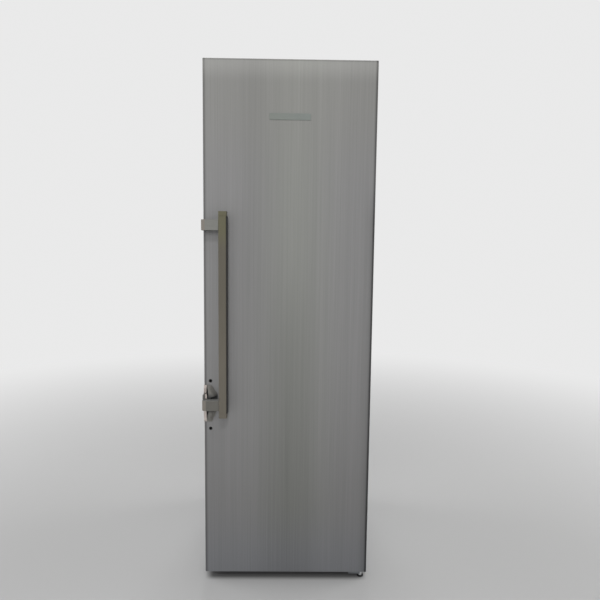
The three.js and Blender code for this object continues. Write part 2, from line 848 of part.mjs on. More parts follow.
// The return spring's turns, and the least gap from one turn to the next.
class Helix extends THREE.Curve {
  getPoint(t, target = new THREE.Vector3()) {
    const [x, y] = fromEdge(pivotInset, pivotProud);
    const radius = pivotRadius + clearance + springWire / 2;
    const angle = t * springTurns * Math.PI * 2;
    const z0 = lowerArmZ + armHalf + earGap + earLugHeight + clearance + springWire / 2;
    return target.set(x + radius * Math.cos(angle), y + radius * Math.sin(angle), z0 + t * springTurns * springPitch);
  }
}

function returnSpring() {
  const stepsPerTurn = 8;
  const path = new Helix();
  const points = path.getPoints(springTurns * stepsPerTurn);
  let least = Infinity;
  points.forEach((p, i) => points.slice(i + stepsPerTurn / 2).forEach((q) => {
    least = Math.min(least, p.distanceTo(q) - springWire);
  }));
  console.log(`return spring: least gap between turns ${least.toFixed(2)} mm`);
  return tube(path, springWire / 2, springTurns * stepsPerTurn, 5);
}

const armColor = 0x82847f;
add('handle_bar', handleBar(), 0x66645c, 0.4, 0.9);
add('upper_bar_cap', barCap(handleCentre + barLength / 2, barTop + clearance), 0x6c6a61, 0.45, 0.6);
add('lower_bar_cap', barCap(handleCentre - barLength / 2, barBottom - clearance), 0x6c6a61, 0.45, 0.6);
add('upper_arm', upperArm(), armColor, 0.4, 0.8);
add('lower_arm', lowerArm(), armColor, 0.4, 0.8);
add('upper_bracket', upperBracket(), 0x4a4b4c, 0.5, 0.8);
add('lower_bracket', lowerBracket(), 0x777773, 0.5, 0.7);
add('upper_pivot_pin', pivotPin(upperArmZ, armHalf - clearance, armHalf - clearance, false), 0x3a3b3c, 0.35, 0.9);
add('lower_pivot_pin', pivotPin(lowerArmZ, pivotRise, pivotDrop, true), 0x3a3b3c, 0.35, 0.9);
add('pusher', pusher(), 0x3c3d3d, 0.6, 0);
add('return_spring', returnSpring(), 0x55565a, 0.35, 0.9);

// Cabinet shells

const cabinetRear = rearFace;

// The front frame is a folded lip of the cabinet's sheet, which the gasket's magnets hold on to.
function outerCabinet() {
  const side = (x0, x1) => box(x0, x1, cabinetFront, cabinetRear, cabinetBottom, cabinetTop);
  const top = slab(half, cabinetFront, cabinetRear, cabinetTop - sheet, cabinetTop);
  const lip = linerLip + clearance;
  const front = cut(
    slab(half, cabinetFront, cabinetFront + sheet, cabinetBottom, cabinetTop),
    slab(cabinHalf + lip, cabinetFront - overrun, cabinetFront + overrun, cabinFloor - lip, cabinCeiling + lip),
  );
  return join(side(-half, -half + sheet), side(half - sheet, half), top, front);
}

// The cabin's side outline with the step over the machine niche, drawn outwards by an outset.
function cabinSection(outset, frontY) {
  return outline([
    [frontY, cabinFloor - outset],
    [stepFront + outset, cabinFloor - outset],
    [stepFront + outset, stepTop - outset],
    [cabinRear + outset, stepTop - outset],
    [cabinRear + outset, cabinCeiling + outset],
    [frontY, cabinCeiling + outset],
  ]);
}

// The cabin's space with its rounded upright corners at the rear, drawn outwards by an outset.
function cabin(outset, frontY) {
  const side = cabinHalf + outset;
  const space = across(cabinSection(outset, frontY), -side, side);
  const plan = (rear) => upright(roundedRectangle(-side, side, frontY - linerRadius * 2, rear, linerRadius + outset),
    cabinFloor - outset - overrun, cabinCeiling + outset + overrun);
  return space.intersect(plan(cabinRear + outset));
}

function shelfRibs(level) {
  const y0 = cabinetFront + ribFront;
  const y1 = cabinRear + clearance;
  const z1 = level - clearance;
  return [
    box(-cabinHalf - clearance, -cabinHalf + ribReach, y0, y1, z1 - ribHeight, z1),
    box(cabinHalf - ribReach, cabinHalf + clearance, y0, y1, z1 - ribHeight, z1),
  ];
}

// The rails that a drawer's rim slides on.
function drawerRails(rimBottom, rear) {
  const y0 = drawerFront + drawerRadius;
  const z1 = rimBottom - clearance;
  return [
    box(-cabinHalf - clearance, -cabinHalf + railReach, y0, rear, z1 - railThickness, z1),
    box(cabinHalf - railReach, cabinHalf + clearance, y0, rear, z1 - railThickness, z1),
  ];
}

function innerLiner() {
  const outer = cabin(linerSheet, cabinetFront);
  const lip = slab(cabinHalf + linerLip, cabinetFront, cabinetFront + linerSheet, cabinFloor - linerLip, cabinCeiling + linerLip);
  const hollow = cabin(0, cabinetFront - overrun);
  const ribs = [...glassLevels, rackLevel, coverLevel].flatMap(shelfRibs);
  const rails = [
    ...drawerRails(lowerDrawerTop - drawerWall, stepFront + clearance),
    ...drawerRails(upperDrawerTop - drawerWall, cabinRear + clearance),
  ];
  const supports = join(...ribs, ...rails).intersect(cabin(clearance, cabinetFront));
  return join(cut(join(outer, lip), hollow), supports);
}

function cabinetInsulation() {
  const front = cabinetFront + linerSheet + clearance;
  const back0 = cabinetRear - sheet - clearance;
  const block = slab(half - insideSheet, front, back0, cabinetBottom + clearance, cabinetTop - insideSheet);
  const outset = linerSheet + clearance;
  const space = cabin(outset, front - overrun);
  const niche = slab(half, nicheFront, cabinetRear, cabinetBottom - overrun, nicheTop);
  const pocketRear = cabinRear + outset + evaporatorSheet + clearance;
  const pocketHalf = evaporatorHalf + clearance;
  const plate = slab(pocketHalf, cabinRear, pocketRear, evaporatorBottom - clearance, evaporatorTop + clearance);
  return cut(block, space, niche, plate);
}

function rearPanel() {
  return slab(half - insideSheet, cabinetRear - sheet, cabinetRear, nicheTop, cabinetTop - insideSheet);
}

add('outer_cabinet', outerCabinet(), 0xa9abab, 0.5, 0.4);
add('rear_panel', rearPanel(), 0x9fa1a1, 0.6, 0.3);
add('cabinet_insulation', cabinetInsulation(), 0xd9c98f, 0.95, 0);
add('inner_liner', innerLiner(), 0xf4f5f4, 0.4, 0);

// Base frame, plinth, feet and rollers

const rollerY = cabinetRear - rollerSetback;
const rollerX = half - rollerInset;
const footY = crossbarFront + crossbarDepth / 2;
const footX = half - footInset;
const compressorY = cabinetRear - compressorSetback;
const baseTop = cabinetBottom - clearance;
const compressorFloor = baseTop + compressorStand;

function compressorFeet() {
  const spread = compressorFootSpread;
  return [[-spread, -spread], [spread, -spread], [-spread, spread], [spread, spread]]
    .map(([dx, dy]) => [compressorOffset + dx, compressorY + dy / 2]);
}

function baseFrame() {
  const outer = half - railInset;
  const rear = cabinetRear - railInset;
  const rail = (x0, x1) => box(x0, x1, crossbarFront, rear, baseBottom, baseTop);
  const plate = slab(outer, crossbarFront, rear, baseTop - baseSheet, baseTop);
  const crossbar = slab(outer, crossbarFront, crossbarFront + crossbarDepth, baseBottom, baseTop);
  const bosses = compressorFeet().map(([x, y]) =>
    postZ(compressorBossRadius, x, y, baseTop - clearance, compressorFloor, 10));
  const studs = [-footX, footX].map((x) =>
    postZ(footStudRadius + clearance, x, footY, baseBottom - overrun, footStudTop + clearance, 12));
  const wheelHalf = rollerWidth / 2 + clearance;
  const wheelReach = rollerRadius + clearance * 2;
  const wells = [-rollerX, rollerX].map((x) => box(x - wheelHalf, x + wheelHalf,
    rollerY - wheelReach, rollerY + wheelReach, -overrun, baseTop + overrun));
  const hangers = [-rollerX, rollerX].map((x) => box(x - rollerWidth, x + rollerWidth,
    rollerY - rollerWidth, rollerY + rollerWidth, rollerRadius - axleRadius * 2, baseTop - clearance));
  const axles = [-rollerX, rollerX].map((x) =>
    postX(axleRadius + clearance, rollerY, rollerRadius, x - rollerWidth - overrun, x + rollerWidth + overrun, 12));
  return cut(join(plate, crossbar, rail(-outer, -outer + railWidth), rail(outer - railWidth, outer), ...hangers, ...bosses),
    ...studs, ...wells, ...axles);
}

// A roller with its axle stubs in one piece.
function roller(x) {
  const wheel = postX(rollerRadius, rollerY, rollerRadius, x - rollerWidth / 2, x + rollerWidth / 2, 20);
  const axle = postX(axleRadius, rollerY, rollerRadius, x - rollerWidth + clearance, x + rollerWidth - clearance, 12);
  return join(wheel, axle);
}

function levellingFoot(x) {
  return join(
    postZ(footRadius, x, footY, 0, footHeight / 2, 20),
    postZ(footHex, x, footY, footHeight / 2 - clearance, footHeight, 6),
    postZ(footStudRadius, x, footY, footHeight - clearance, footStudTop, 12),
  );
}

function plinthGrille() {
  const x0 = -half + plinthInset;
  const x1 = hingeX + hingeInset - lowerPlateLeft - plinthInset / 2;
  const z1 = baseTop - baseSheet;
  const y1 = crossbarFront - clearance;
  const panel = box(x0, x1, y1 - plinthThickness, y1, plinthBottom, z1);
  const pitch = (x1 - x0) / plinthSlots;
  const slots = Array.from({ length: plinthSlots }, (_, i) => {
    const centre = x0 + (i + 1 / 2) * pitch;
    const middle = (plinthBottom + z1) / 2;
    return box(centre - plinthSlotWidth / 2, centre + plinthSlotWidth / 2, y1 - plinthThickness - overrun, y1 + overrun,
      middle - plinthSlotHeight / 2, middle + plinthSlotHeight / 2);
  });
  return cut(panel, ...slots);
}

add('base_frame', baseFrame(), 0x6b6d6e, 0.55, 0.7);
add('plinth_grille', plinthGrille(), 0x161617, 0.7, 0);
add('front_left_foot', levellingFoot(-footX), 0x2b2c2d, 0.6, 0.2);
add('front_right_foot', levellingFoot(footX), 0x2b2c2d, 0.6, 0.2);
add('rear_left_roller', roller(-rollerX), 0x2b2c2d, 0.6, 0);
add('rear_right_roller', roller(rollerX), 0x2b2c2d, 0.6, 0);

// Door hinges

const lowerLeft = half - lowerPlateLeft;
const lowerRight = half - lowerPlateRight;
const lowerTop = floorGap - clearance;

// A bracket under the door: a leg on the crossbar, a plate with the pin, and a folded front lip.
function lowerHinge() {
  const plate = box(lowerLeft, lowerRight, lowerPlateFront, crossbarFront - clearance, lowerTop - lowerPlate, lowerTop);
  const leg = box(lowerLeft, lowerRight, crossbarFront - clearance - lowerPlate, crossbarFront - clearance, lowerTop - lowerPlate, baseTop - baseSheet);
  const lip = box(lowerLeft, lowerLeft + lowerLipWidth, lowerPlateFront, lowerPlateFront + lowerPlate, floorGap - lowerLipDrop, lowerTop);
  const pin = postZ(hingePinRadius, hingeX, hingeSetback, lowerTop - lowerPlate / 2, floorGap + hingePinReach);
  const stud = postZ(bracketFootStud + clearance, hingeX, bracketFootSetback, 0, floorGap + overrun, 12);
  return cut(join(plate, leg, lip), stud).add(pin);
}

// A turned foot: a flat pad, a domed nut and the stud up through the plate.
function bracketFoot() {
  const profile = new THREE.Path();
  const shoulder = bracketFootHeight - bracketFootDome / 2;
  profile.moveTo(0, 0);
  profile.lineTo(bracketFootRadius, 0);
  profile.lineTo(bracketFootRadius, bracketFootPad);
  profile.lineTo(bracketFootDome, bracketFootPad);
  profile.lineTo(bracketFootDome, shoulder);
  profile.quadraticCurveTo(bracketFootDome, bracketFootHeight, bracketFootStud, bracketFootHeight);
  profile.lineTo(bracketFootStud, lowerTop - clearance);
  profile.lineTo(0, lowerTop - clearance);
  const geometry = new THREE.LatheGeometry(profile.getPoints(4), 16);
  geometry.rotateX(Math.PI / 2);
  geometry.translate(hingeX, bracketFootSetback, 0);
  return solid(geometry);
}

function upperHinge() {
  const z0 = cabinetTop + clearance;
  const shape = roundedRectangle(half - hingePlateWidth, half - lowerPlateRight,
    hingeSetback - hingePlateMargin, cabinetFront + hingePlateReach, hingePlateMargin / 2);
  const pin = postZ(hingePinRadius, hingeX, hingeSetback, doorTop - hingePinReach, z0 + hingePlate / 2);
  return join(upright(shape, z0, z0 + hingePlate), pin);
}

function hingeCover() {
  const x0 = half - hingePlateWidth - hingeCoverMargin;
  const y0 = hingeSetback - hingePlateMargin - hingeCoverMargin;
  const y1 = cabinetFront + hingePlateReach + hingeCoverMargin;
  const z0 = cabinetTop + clearance;
  const inset = hingeCoverWall;
  const shell = upright(roundedRectangle(x0, half, y0, y1, hingePlateMargin / 2), z0, height);
  const hollow = box(x0 + inset, half - inset, y0 + inset, y1 - inset, z0 - overrun, height - hingeCoverWall);
  return cut(shell, hollow);
}

add('lower_hinge', lowerHinge(), 0x7a7c7e, 0.4, 0.9);
add('bracket_foot', bracketFoot(), 0xb4b6b8, 0.25, 0.9);
add('upper_hinge', upperHinge(), 0x7a7c7e, 0.4, 0.9);
add('hinge_cover', hingeCover(), 0x5d5f61, 0.6, 0);

// Cold system

// A pot with domed ends, welded together along a raised seam, on a foot plate.
function compressor() {
  const z0 = compressorFloor + clearance;
  const dome = compressorRadius / 3;
  const low = z0 + compressorFootSheet;
  const high = low + compressorHeight;
  const middle = low + compressorHeight * seamShare;
  const profile = new THREE.Path();
  profile.moveTo(0, low - clearance);
  profile.lineTo(compressorRadius - dome, low - clearance);
  profile.quadraticCurveTo(compressorRadius, low, compressorRadius, low + dome);
  profile.lineTo(compressorRadius, middle - compressorSeam);
  profile.lineTo(compressorRadius + compressorSeam, middle - compressorSeam);
  profile.lineTo(compressorRadius + compressorSeam, middle + compressorSeam);
  profile.lineTo(compressorRadius, middle + compressorSeam);
  profile.lineTo(compressorRadius, high - dome);
  profile.quadraticCurveTo(compressorRadius, high, 0, high);
  const geometry = new THREE.LatheGeometry(profile.getPoints(4), 24);
  geometry.rotateX(Math.PI / 2);
  geometry.translate(compressorOffset, compressorY, 0);
  const reach = compressorFootSpread + compressorBossRadius;
  const foot = box(compressorOffset - reach, compressorOffset + reach,
    compressorY - reach * 2 / 3, compressorY + reach * 2 / 3, z0, z0 + compressorFootSheet);
  return join(solid(geometry), foot);
}

const potTop = compressorFloor + clearance + compressorFootSheet + compressorHeight;

function terminalBox() {
  const x1 = compressorOffset - compressorRadius - clearance;
  const middle = compressorFloor + compressorHeight / 2;
  return box(x1 - terminalWidth, x1, compressorY - terminalDepth / 2, compressorY + terminalDepth / 2,
    middle - terminalHeight / 2, middle + terminalHeight / 2);
}

// The tray that catches the defrost water stands on the warm pot.
function evaporationTray() {
  const z0 = potTop + clearance;
  const shape = (inset) => roundedRectangle(
    compressorOffset - trayLength / 2 + inset, compressorOffset + trayLength / 2 - inset,
    compressorY - trayWidth / 2 + inset, compressorY + trayWidth / 2 - inset, trayWidth / 8);
  return cut(upright(shape(0), z0, z0 + trayHeight), upright(shape(trayWall), z0 + trayWall, z0 + trayHeight + overrun));
}

// Tube runs joined by half rounds at their ends, welded to upright wires that hook on to the rear panel.
const condenserY = depth - condenserWire - condenserTube;

function condenserPath() {
  const path = new THREE.CurvePath();
  const radius = condenserPitch / 2;
  for (let run = 0; run < condenserRuns; run += 1) {
    const side = run % 2 === 0 ? 1 : -1;
    const z = condenserBottom + run * condenserPitch;
    const end = condenserHalf - radius;
    path.add(new THREE.LineCurve3(
      new THREE.Vector3(-side * end, condenserY, z), new THREE.Vector3(side * end, condenserY, z)));
    if (run < condenserRuns - 1) path.add(new HalfRound(side * end, z + radius, radius, side));
  }
  return path;
}

class HalfRound extends THREE.Curve {
  constructor(x, z, radius, side) {
    super();
    Object.assign(this, { x, z, radius, side });
  }

  getPoint(t, target = new THREE.Vector3()) {
    const angle = -Math.PI / 2 + t * Math.PI;
    return target.set(this.x + this.side * this.radius * Math.cos(angle), condenserY, this.z + this.radius * Math.sin(angle));
  }
}

// A tube swept through the points of a path in one vertical plane, with a ring of corners at each point.
function planeTube(points, radius, sides) {
  const places = [];
  const index = [];
  const turn = (i) => {
    const before = points[Math.max(i - 1, 0)];
    const after = points[Math.min(i + 1, points.length - 1)];
    return after.clone().sub(before).normalize();
  };
  points.forEach((p, i) => {
    const along = turn(i);
    const sideways = new THREE.Vector3(along.z, 0, -along.x);
    for (let k = 0; k < sides; k += 1) {
      const angle = (k / sides) * Math.PI * 2;
      const out = sideways.clone().multiplyScalar(Math.cos(angle) * radius);
      places.push(p.x + out.x, p.y + Math.sin(angle) * radius, p.z + out.z);
    }
  });
  for (let i = 0; i < points.length - 1; i += 1) {
    for (let k = 0; k < sides; k += 1) {
      const a = i * sides + k;
      const b = i * sides + (k + 1) % sides;
      index.push(a, b, a + sides, b, b + sides, a + sides);
    }
  }
  const last = (points.length - 1) * sides;
  for (let k = 1; k < sides - 1; k += 1) {
    index.push(0, k + 1, k);
    index.push(last, last + k, last + k + 1);
  }
  const geometry = new THREE.BufferGeometry();
  geometry.setAttribute('position', new THREE.BufferAttribute(new Float32Array(places), 3));
  geometry.setIndex(index);
  return solid(geometry);
}

function condenser() {
  const bend = 5;
  const points = condenserPath().curves.flatMap((curve) =>
    curve instanceof HalfRound ? curve.getPoints(bend).slice(1, -1) : curve.getPoints(1));
  const coil = planeTube(points, condenserTube, 6);
  const top = condenserBottom + (condenserRuns - 1) * condenserPitch;
  const low = condenserBottom - condenserPitch / 4;
  const high = top + condenserPitch / 4;
  const span = condenserHalf - condenserPitch / 2 - condenserHook;
  const wires = Array.from({ length: condenserWires }, (_, i) => {
    const x = -span + (2 * span * i) / (condenserWires - 1);
    return box(x - condenserWire / 2, x + condenserWire / 2, condenserY + condenserTube - condenserWire / 2,
      depth, low, high);
  });
  const hooks = [-span, span].flatMap((x) => [low, high - condenserHook].map((z) =>
    box(x - condenserHook / 2, x + condenserHook / 2, cabinetRear + clearance, depth - condenserWire / 2, z, z + condenserHook)));
  return join(coil, ...wires, ...hooks);
}

// The hot gas pipe leaves the pot's side, runs back out of the niche and climbs to the coil's lowest run.
function dischargePipe() {
  const potSide = compressorOffset + compressorRadius + clearance;
  const outside = compressorOffset + trayLength / 2 + pipeRadius * 5;
  const endX = -(condenserHalf - condenserPitch / 2);
  const middle = compressorFloor + compressorHeight / 2;
  const high = potTop - pipeRadius;
  const lane = condenserY - pipeRadius;
  const points = [
    [potSide, compressorY, middle],
    [outside - pipeRadius * 3, compressorY, middle],
    [outside, compressorY + pipeRadius, middle + pipeRadius * 4],
    [outside, compressorY + pipeRadius * 4, high - pipeRadius * 3],
    [outside - pipeRadius * 3, lane - pipeRadius * 3, high],
    [outside - pipeRadius * 12, lane, high],
    [endX + pipeRadius * 8, lane, high],
    [endX - pipeRadius * 5, lane, high + pipeRadius * 5],
    [endX - pipeRadius * 7, lane, high + pipeRadius * 12],
    [endX - pipeRadius * 7, lane, condenserBottom - pipeRadius * 6],
    [endX - pipeRadius * 4, condenserY, condenserBottom],
    [endX - clearance, condenserY, condenserBottom],
  ].map((p) => new THREE.Vector3(...p));
  return tube(new THREE.CatmullRomCurve3(points, false, 'centripetal'), pipeRadius, 40, 6);
}

function evaporator() {
  const y0 = cabinRear + linerSheet + clearance;
  return slab(evaporatorHalf, y0, y0 + evaporatorSheet, evaporatorBottom, evaporatorTop);
}

// A square housing on the rear wall, slotted in front, with the fan's shaft on its inside.
function fanCover() {
  const y0 = cabinRear - clearance - fanCoverDepth;
  const y1 = cabinRear - clearance;
  const z0 = fanHeight - fanCoverHalf;
  const z1 = fanHeight + fanCoverHalf;
  const shell = cut(
    slab(fanCoverHalf, y0, y1, z0, z1),
    slab(fanCoverHalf - fanCoverWall, y0 + fanCoverWall, y1 + overrun, z0 + fanCoverWall, z1 - fanCoverWall),
  );
  const pitch = (2 * fanRadius) / fanSlots;
  const slots = Array.from({ length: fanSlots }, (_, i) => {
    const z = fanHeight - fanRadius + (i + 1 / 2) * pitch;
    const reach = Math.sqrt(fanRadius ** 2 - (z - fanHeight) ** 2);
    return slab(reach, y0 - overrun, y0 + fanCoverWall + overrun, z - fanSlotHeight / 2, z + fanSlotHeight / 2);
  });
  const hub = postY(fanHub, 0, fanHeight, y0 + fanCoverWall / 2, y0 + fanCoverWall * 2);
  const shaft = postY(fanShaftRadius, 0, fanHeight, y0 + fanCoverWall, y1 - fanCoverWall, 12);
  return join(cut(shell, ...slots), hub, shaft);
}

function circulationFan() {
  const y0 = cabinRear - clearance - fanCoverDepth + fanCoverWall * 2 + clearance;
  const y1 = y0 + fanBladeWidth;
  const hub = postY(fanHub, 0, fanHeight, y0, y1);
  const blades = Array.from({ length: fanBlades }, (_, i) => {
    const geometry = new THREE.BoxGeometry(fanBladeSheet, fanBladeWidth - 2 * clearance, fanRadius - fanHub + overrun);
    geometry.rotateZ(Math.PI / 5);
    geometry.translate(0, 0, (fanRadius + fanHub - overrun) / 2);
    geometry.rotateY((i / fanBlades) * Math.PI * 2);
    geometry.translate(0, (y0 + y1) / 2, fanHeight);
    return solid(geometry);
  });
  return cut(join(hub, ...blades), postY(fanShaftRadius + clearance, 0, fanHeight, y0 - overrun, y1 + overrun, 12));
}

add('compressor', compressor(), 0x1c1d1e, 0.45, 0.5);
add('terminal_box', terminalBox(), 0x232425, 0.7, 0);
add('evaporation_tray', evaporationTray(), 0x2a2b2c, 0.6, 0);
add('condenser', condenser(), 0x1b1c1d, 0.5, 0.4);
add('discharge_pipe', dischargePipe(), 0xa0603c, 0.35, 0.9);
add('evaporator', evaporator(), 0xb8bbbd, 0.4, 0.9);
add('fan_cover', fanCover(), 0xf1f2f1, 0.45, 0);
add('circulation_fan', circulationFan(), 0x3a3b3c, 0.6, 0);

// Control panel, display, buttons and light

const panelFront = cabinetFront + clearance + linerSheet * 3;
const panelTop = cabinCeiling - clearance;
const panelMiddle = panelTop - panelHeight / 2;

function buttonX(index) {
  return buttonStart + index * buttonPitch;
}

function controlPanel() {
  const section = outline([
    [panelFront, panelTop],
    [panelFront, panelTop - panelHeight + panelSlope / 2],
    [panelFront + panelSlope, panelTop - panelHeight],
    [panelFront + panelDepth, panelTop - panelHeight],
    [panelFront + panelDepth, panelTop],
  ]);
  const window = slab(displayHalf + clearance, panelFront - overrun, panelFront + displaySheet + clearance,
    panelMiddle - displayHeight / 2 - clearance, panelMiddle + displayHeight / 2 + clearance);
  const bores = buttonNames.map((_, i) => postY(buttonRadius + clearance, buttonX(i), panelMiddle,
    panelFront - overrun, panelFront + buttonDepth + buttonTravel + clearance, 12));
  return cut(across(section, -panelHalf, panelHalf), window, ...bores);
}

function displayLens() {
  return slab(displayHalf, panelFront, panelFront + displaySheet,
    panelMiddle - displayHeight / 2, panelMiddle + displayHeight / 2);
}

function pushButton(index) {
  return postY(buttonRadius, buttonX(index), panelMiddle, panelFront - buttonProud, panelFront + buttonDepth, 12);
}

function ceilingLight() {
  const y0 = cabinetFront + lightSetback;
  const shape = roundedRectangle(-lightHalf, lightHalf, y0, y0 + lightDepth, lightDepth / 4);
  return upright(shape, cabinCeiling - clearance - lightSheet, cabinCeiling - clearance);
}

add('control_panel', controlPanel(), 0xd9dbdb, 0.4, 0);
add('display_lens', displayLens(), 0x101214, 0.1, 0);
buttonNames.forEach((name, i) => add(name, pushButton(i), 0xb8bbbd, 0.35, 0.6));
add('ceiling_light', ceilingLight(), 0xf7f8fa, 0.3, 0);

// Shelves, bottle rack and drawers

const shelfFront = cabinetFront + shelfSetback;
const shelfRear = cabinRear - shelfRearGap;

function glassShelf(level) {
  return slab(cabinHalf - shelfSideGap, shelfFront, shelfRear, level, level + glassThickness);
}

// A rack of side-by-side troughs for lying bottles, one wave of its outline for each bottle.
function bottleRack() {
  const reach = cabinHalf - shelfSideGap;
  const shape = new THREE.Shape();
  const trough = (2 * reach) / rackTroughs;
  shape.moveTo(-reach, rackLevel);
  shape.lineTo(reach, rackLevel);
  shape.lineTo(reach, rackLevel + rackRise);
  for (let i = 0; i < rackTroughs; i += 1) {
    const x = reach - i * trough;
    const crest = rackLevel + rackRise;
    const floor = rackLevel + rackSheet;
    shape.bezierCurveTo(x - trough / 4, crest, x - trough / 4, floor, x - trough / 2, floor);
    shape.bezierCurveTo(x - trough * 3 / 4, floor, x - trough * 3 / 4, crest, x - trough, crest);
  }
  return back(shape, shelfFront, shelfRear);
}

// A rounded tray with a rim along each side, and a finger cut-out in its front.
function drawer(bottom, top, rear) {
  const side = cabinHalf - railReach - drawerSideGap;
  const body = (inset) => roundedRectangle(-side + inset, side - inset, drawerFront + inset, rear - inset, drawerRadius - inset);
  const shell = cut(upright(body(0), bottom, top), upright(body(drawerWall), bottom + drawerWall, top + overrun));
  const rim = (x0, x1) => box(x0, x1, drawerFront + drawerRadius * 2, rear, top - drawerWall, top);
  const reach = side + rimReach;
  const pull = slab(pullHalf, drawerFront - overrun, drawerFront + drawerWall + overrun, top - pullHeight, top + overrun);
  return cut(join(shell, rim(-reach, -side + clearance), rim(side - clearance, reach)), pull);
}

const glassColor = 0xcfe0dd;
glassLevels.forEach((level, i) => add(`glass_shelf_${i + 1}`, glassShelf(level), glassColor, 0.05, 0));
add('bottle_rack', bottleRack(), 0xd9dcdd, 0.3, 0);
add('drawer_cover_glass', glassShelf(coverLevel), glassColor, 0.05, 0);
add('upper_drawer', drawer(upperDrawerBottom, upperDrawerTop, cabinRear - drawerRearGap), 0xe6ebec, 0.2, 0);
add('lower_drawer', drawer(lowerDrawerBottom, lowerDrawerTop, lowerDrawerRear), 0xe6ebec, 0.2, 0);

// The handle stands proud in front, so the whole part is moved to be centred over its footprint.
group.position.y = (barFront - depth) / 2;

export default group;
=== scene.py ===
# %% [markdown]
# # Dressing an upright refrigerator
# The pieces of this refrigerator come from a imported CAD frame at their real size, in metres, with +Z up and
# the door's front facing -Y. This lesson gives them their finishes, rounds their edges, and adds the thin
# parts that a CAD model leaves out. Nothing that the frame holds is moved.

# %% Load the frame
import json
import math

import bmesh
import bpy
import numpy as np
from mathutils import Matrix, Vector

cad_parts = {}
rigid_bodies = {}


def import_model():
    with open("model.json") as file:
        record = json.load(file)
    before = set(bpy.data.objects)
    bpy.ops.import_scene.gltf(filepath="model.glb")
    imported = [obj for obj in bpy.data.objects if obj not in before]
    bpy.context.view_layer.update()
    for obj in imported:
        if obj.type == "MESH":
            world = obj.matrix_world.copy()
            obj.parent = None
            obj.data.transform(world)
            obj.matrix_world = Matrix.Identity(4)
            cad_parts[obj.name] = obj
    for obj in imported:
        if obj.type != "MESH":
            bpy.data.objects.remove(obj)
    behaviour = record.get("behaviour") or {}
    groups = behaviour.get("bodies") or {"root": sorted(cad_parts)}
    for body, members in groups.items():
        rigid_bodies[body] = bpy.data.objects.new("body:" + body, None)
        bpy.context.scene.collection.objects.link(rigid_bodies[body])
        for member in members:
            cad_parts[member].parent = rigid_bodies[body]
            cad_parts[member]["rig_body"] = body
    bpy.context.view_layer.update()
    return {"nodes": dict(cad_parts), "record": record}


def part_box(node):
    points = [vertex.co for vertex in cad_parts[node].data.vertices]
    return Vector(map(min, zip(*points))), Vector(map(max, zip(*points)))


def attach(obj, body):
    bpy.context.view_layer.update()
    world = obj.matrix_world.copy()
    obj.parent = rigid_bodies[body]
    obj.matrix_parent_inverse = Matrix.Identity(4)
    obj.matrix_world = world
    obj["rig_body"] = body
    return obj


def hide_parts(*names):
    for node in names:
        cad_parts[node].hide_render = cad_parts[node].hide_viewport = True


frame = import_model()
finishes = {entry["slot"]: entry for entry in frame["record"]["materials"]}
slot_of = {entry["node"]: entry["material_slot"] for entry in frame["record"]["subparts"]}
body_of = {node: source["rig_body"] for node, source in frame["nodes"].items()}

# %% [markdown]
# ## The camera
# The photograph was taken from a little right of the middle and from about two thirds of the door's height.
# A pinhole camera was fitted to ten points, with the part's size given: the corners of the door and of the
# handle's bar, and the ends of the badge plate. It looks down by 5.3 degrees and leans by less than one. The
# photograph leaves the focal length open, so 495 pixels is a choice among values that fit about as well.
# Building the camera's axes from its three angles, instead of pointing it at a target, keeps the lean.

# %% Camera
sensor = 0.036
photo_pixels = 600
focal_pixels = 495
camera_place = Vector((0.0187, -2.0194, 1.1976))
yaw, pitch, roll = (math.radians(angle) for angle in (0.715, 5.303, 0.676))


def camera_axes(yaw, pitch, roll):
    """The camera's right, up and back directions: yaw about +Z, then pitch downwards, then roll."""
    ahead = Vector((math.sin(yaw) * math.cos(pitch), math.cos(yaw) * math.cos(pitch), -math.sin(pitch)))
    level = Vector((math.cos(yaw), -math.sin(yaw), 0))
    upright = level.cross(ahead)
    right = math.cos(roll) * level + math.sin(roll) * upright
    up = -math.sin(roll) * level + math.cos(roll) * upright
    return right, up, -ahead


camera_data = bpy.data.cameras.new("camera")
camera_data.sensor_width = sensor * 1000
camera_data.lens = focal_pixels / photo_pixels * camera_data.sensor_width
camera_data.clip_start = 0.01
camera = bpy.data.objects.new("camera", camera_data)
camera_turn = Matrix(camera_axes(yaw, pitch, roll)).transposed().to_4x4()
camera.matrix_world = Matrix.Translation(camera_place) @ camera_turn
bpy.context.scene.collection.objects.link(camera)
bpy.context.scene.camera = camera
print("lens in millimetres:", round(camera_data.lens, 2))

# %% [markdown]
# ## Shader maths in Python
# A procedural finish is a sum of patterns. Adding the nodes by hand hides that sum, so a small class wraps
# a node's socket and overloads the operators: `1 - mask * 0.2` then adds its own Math nodes.

# %% A signal is a socket that takes part in sums


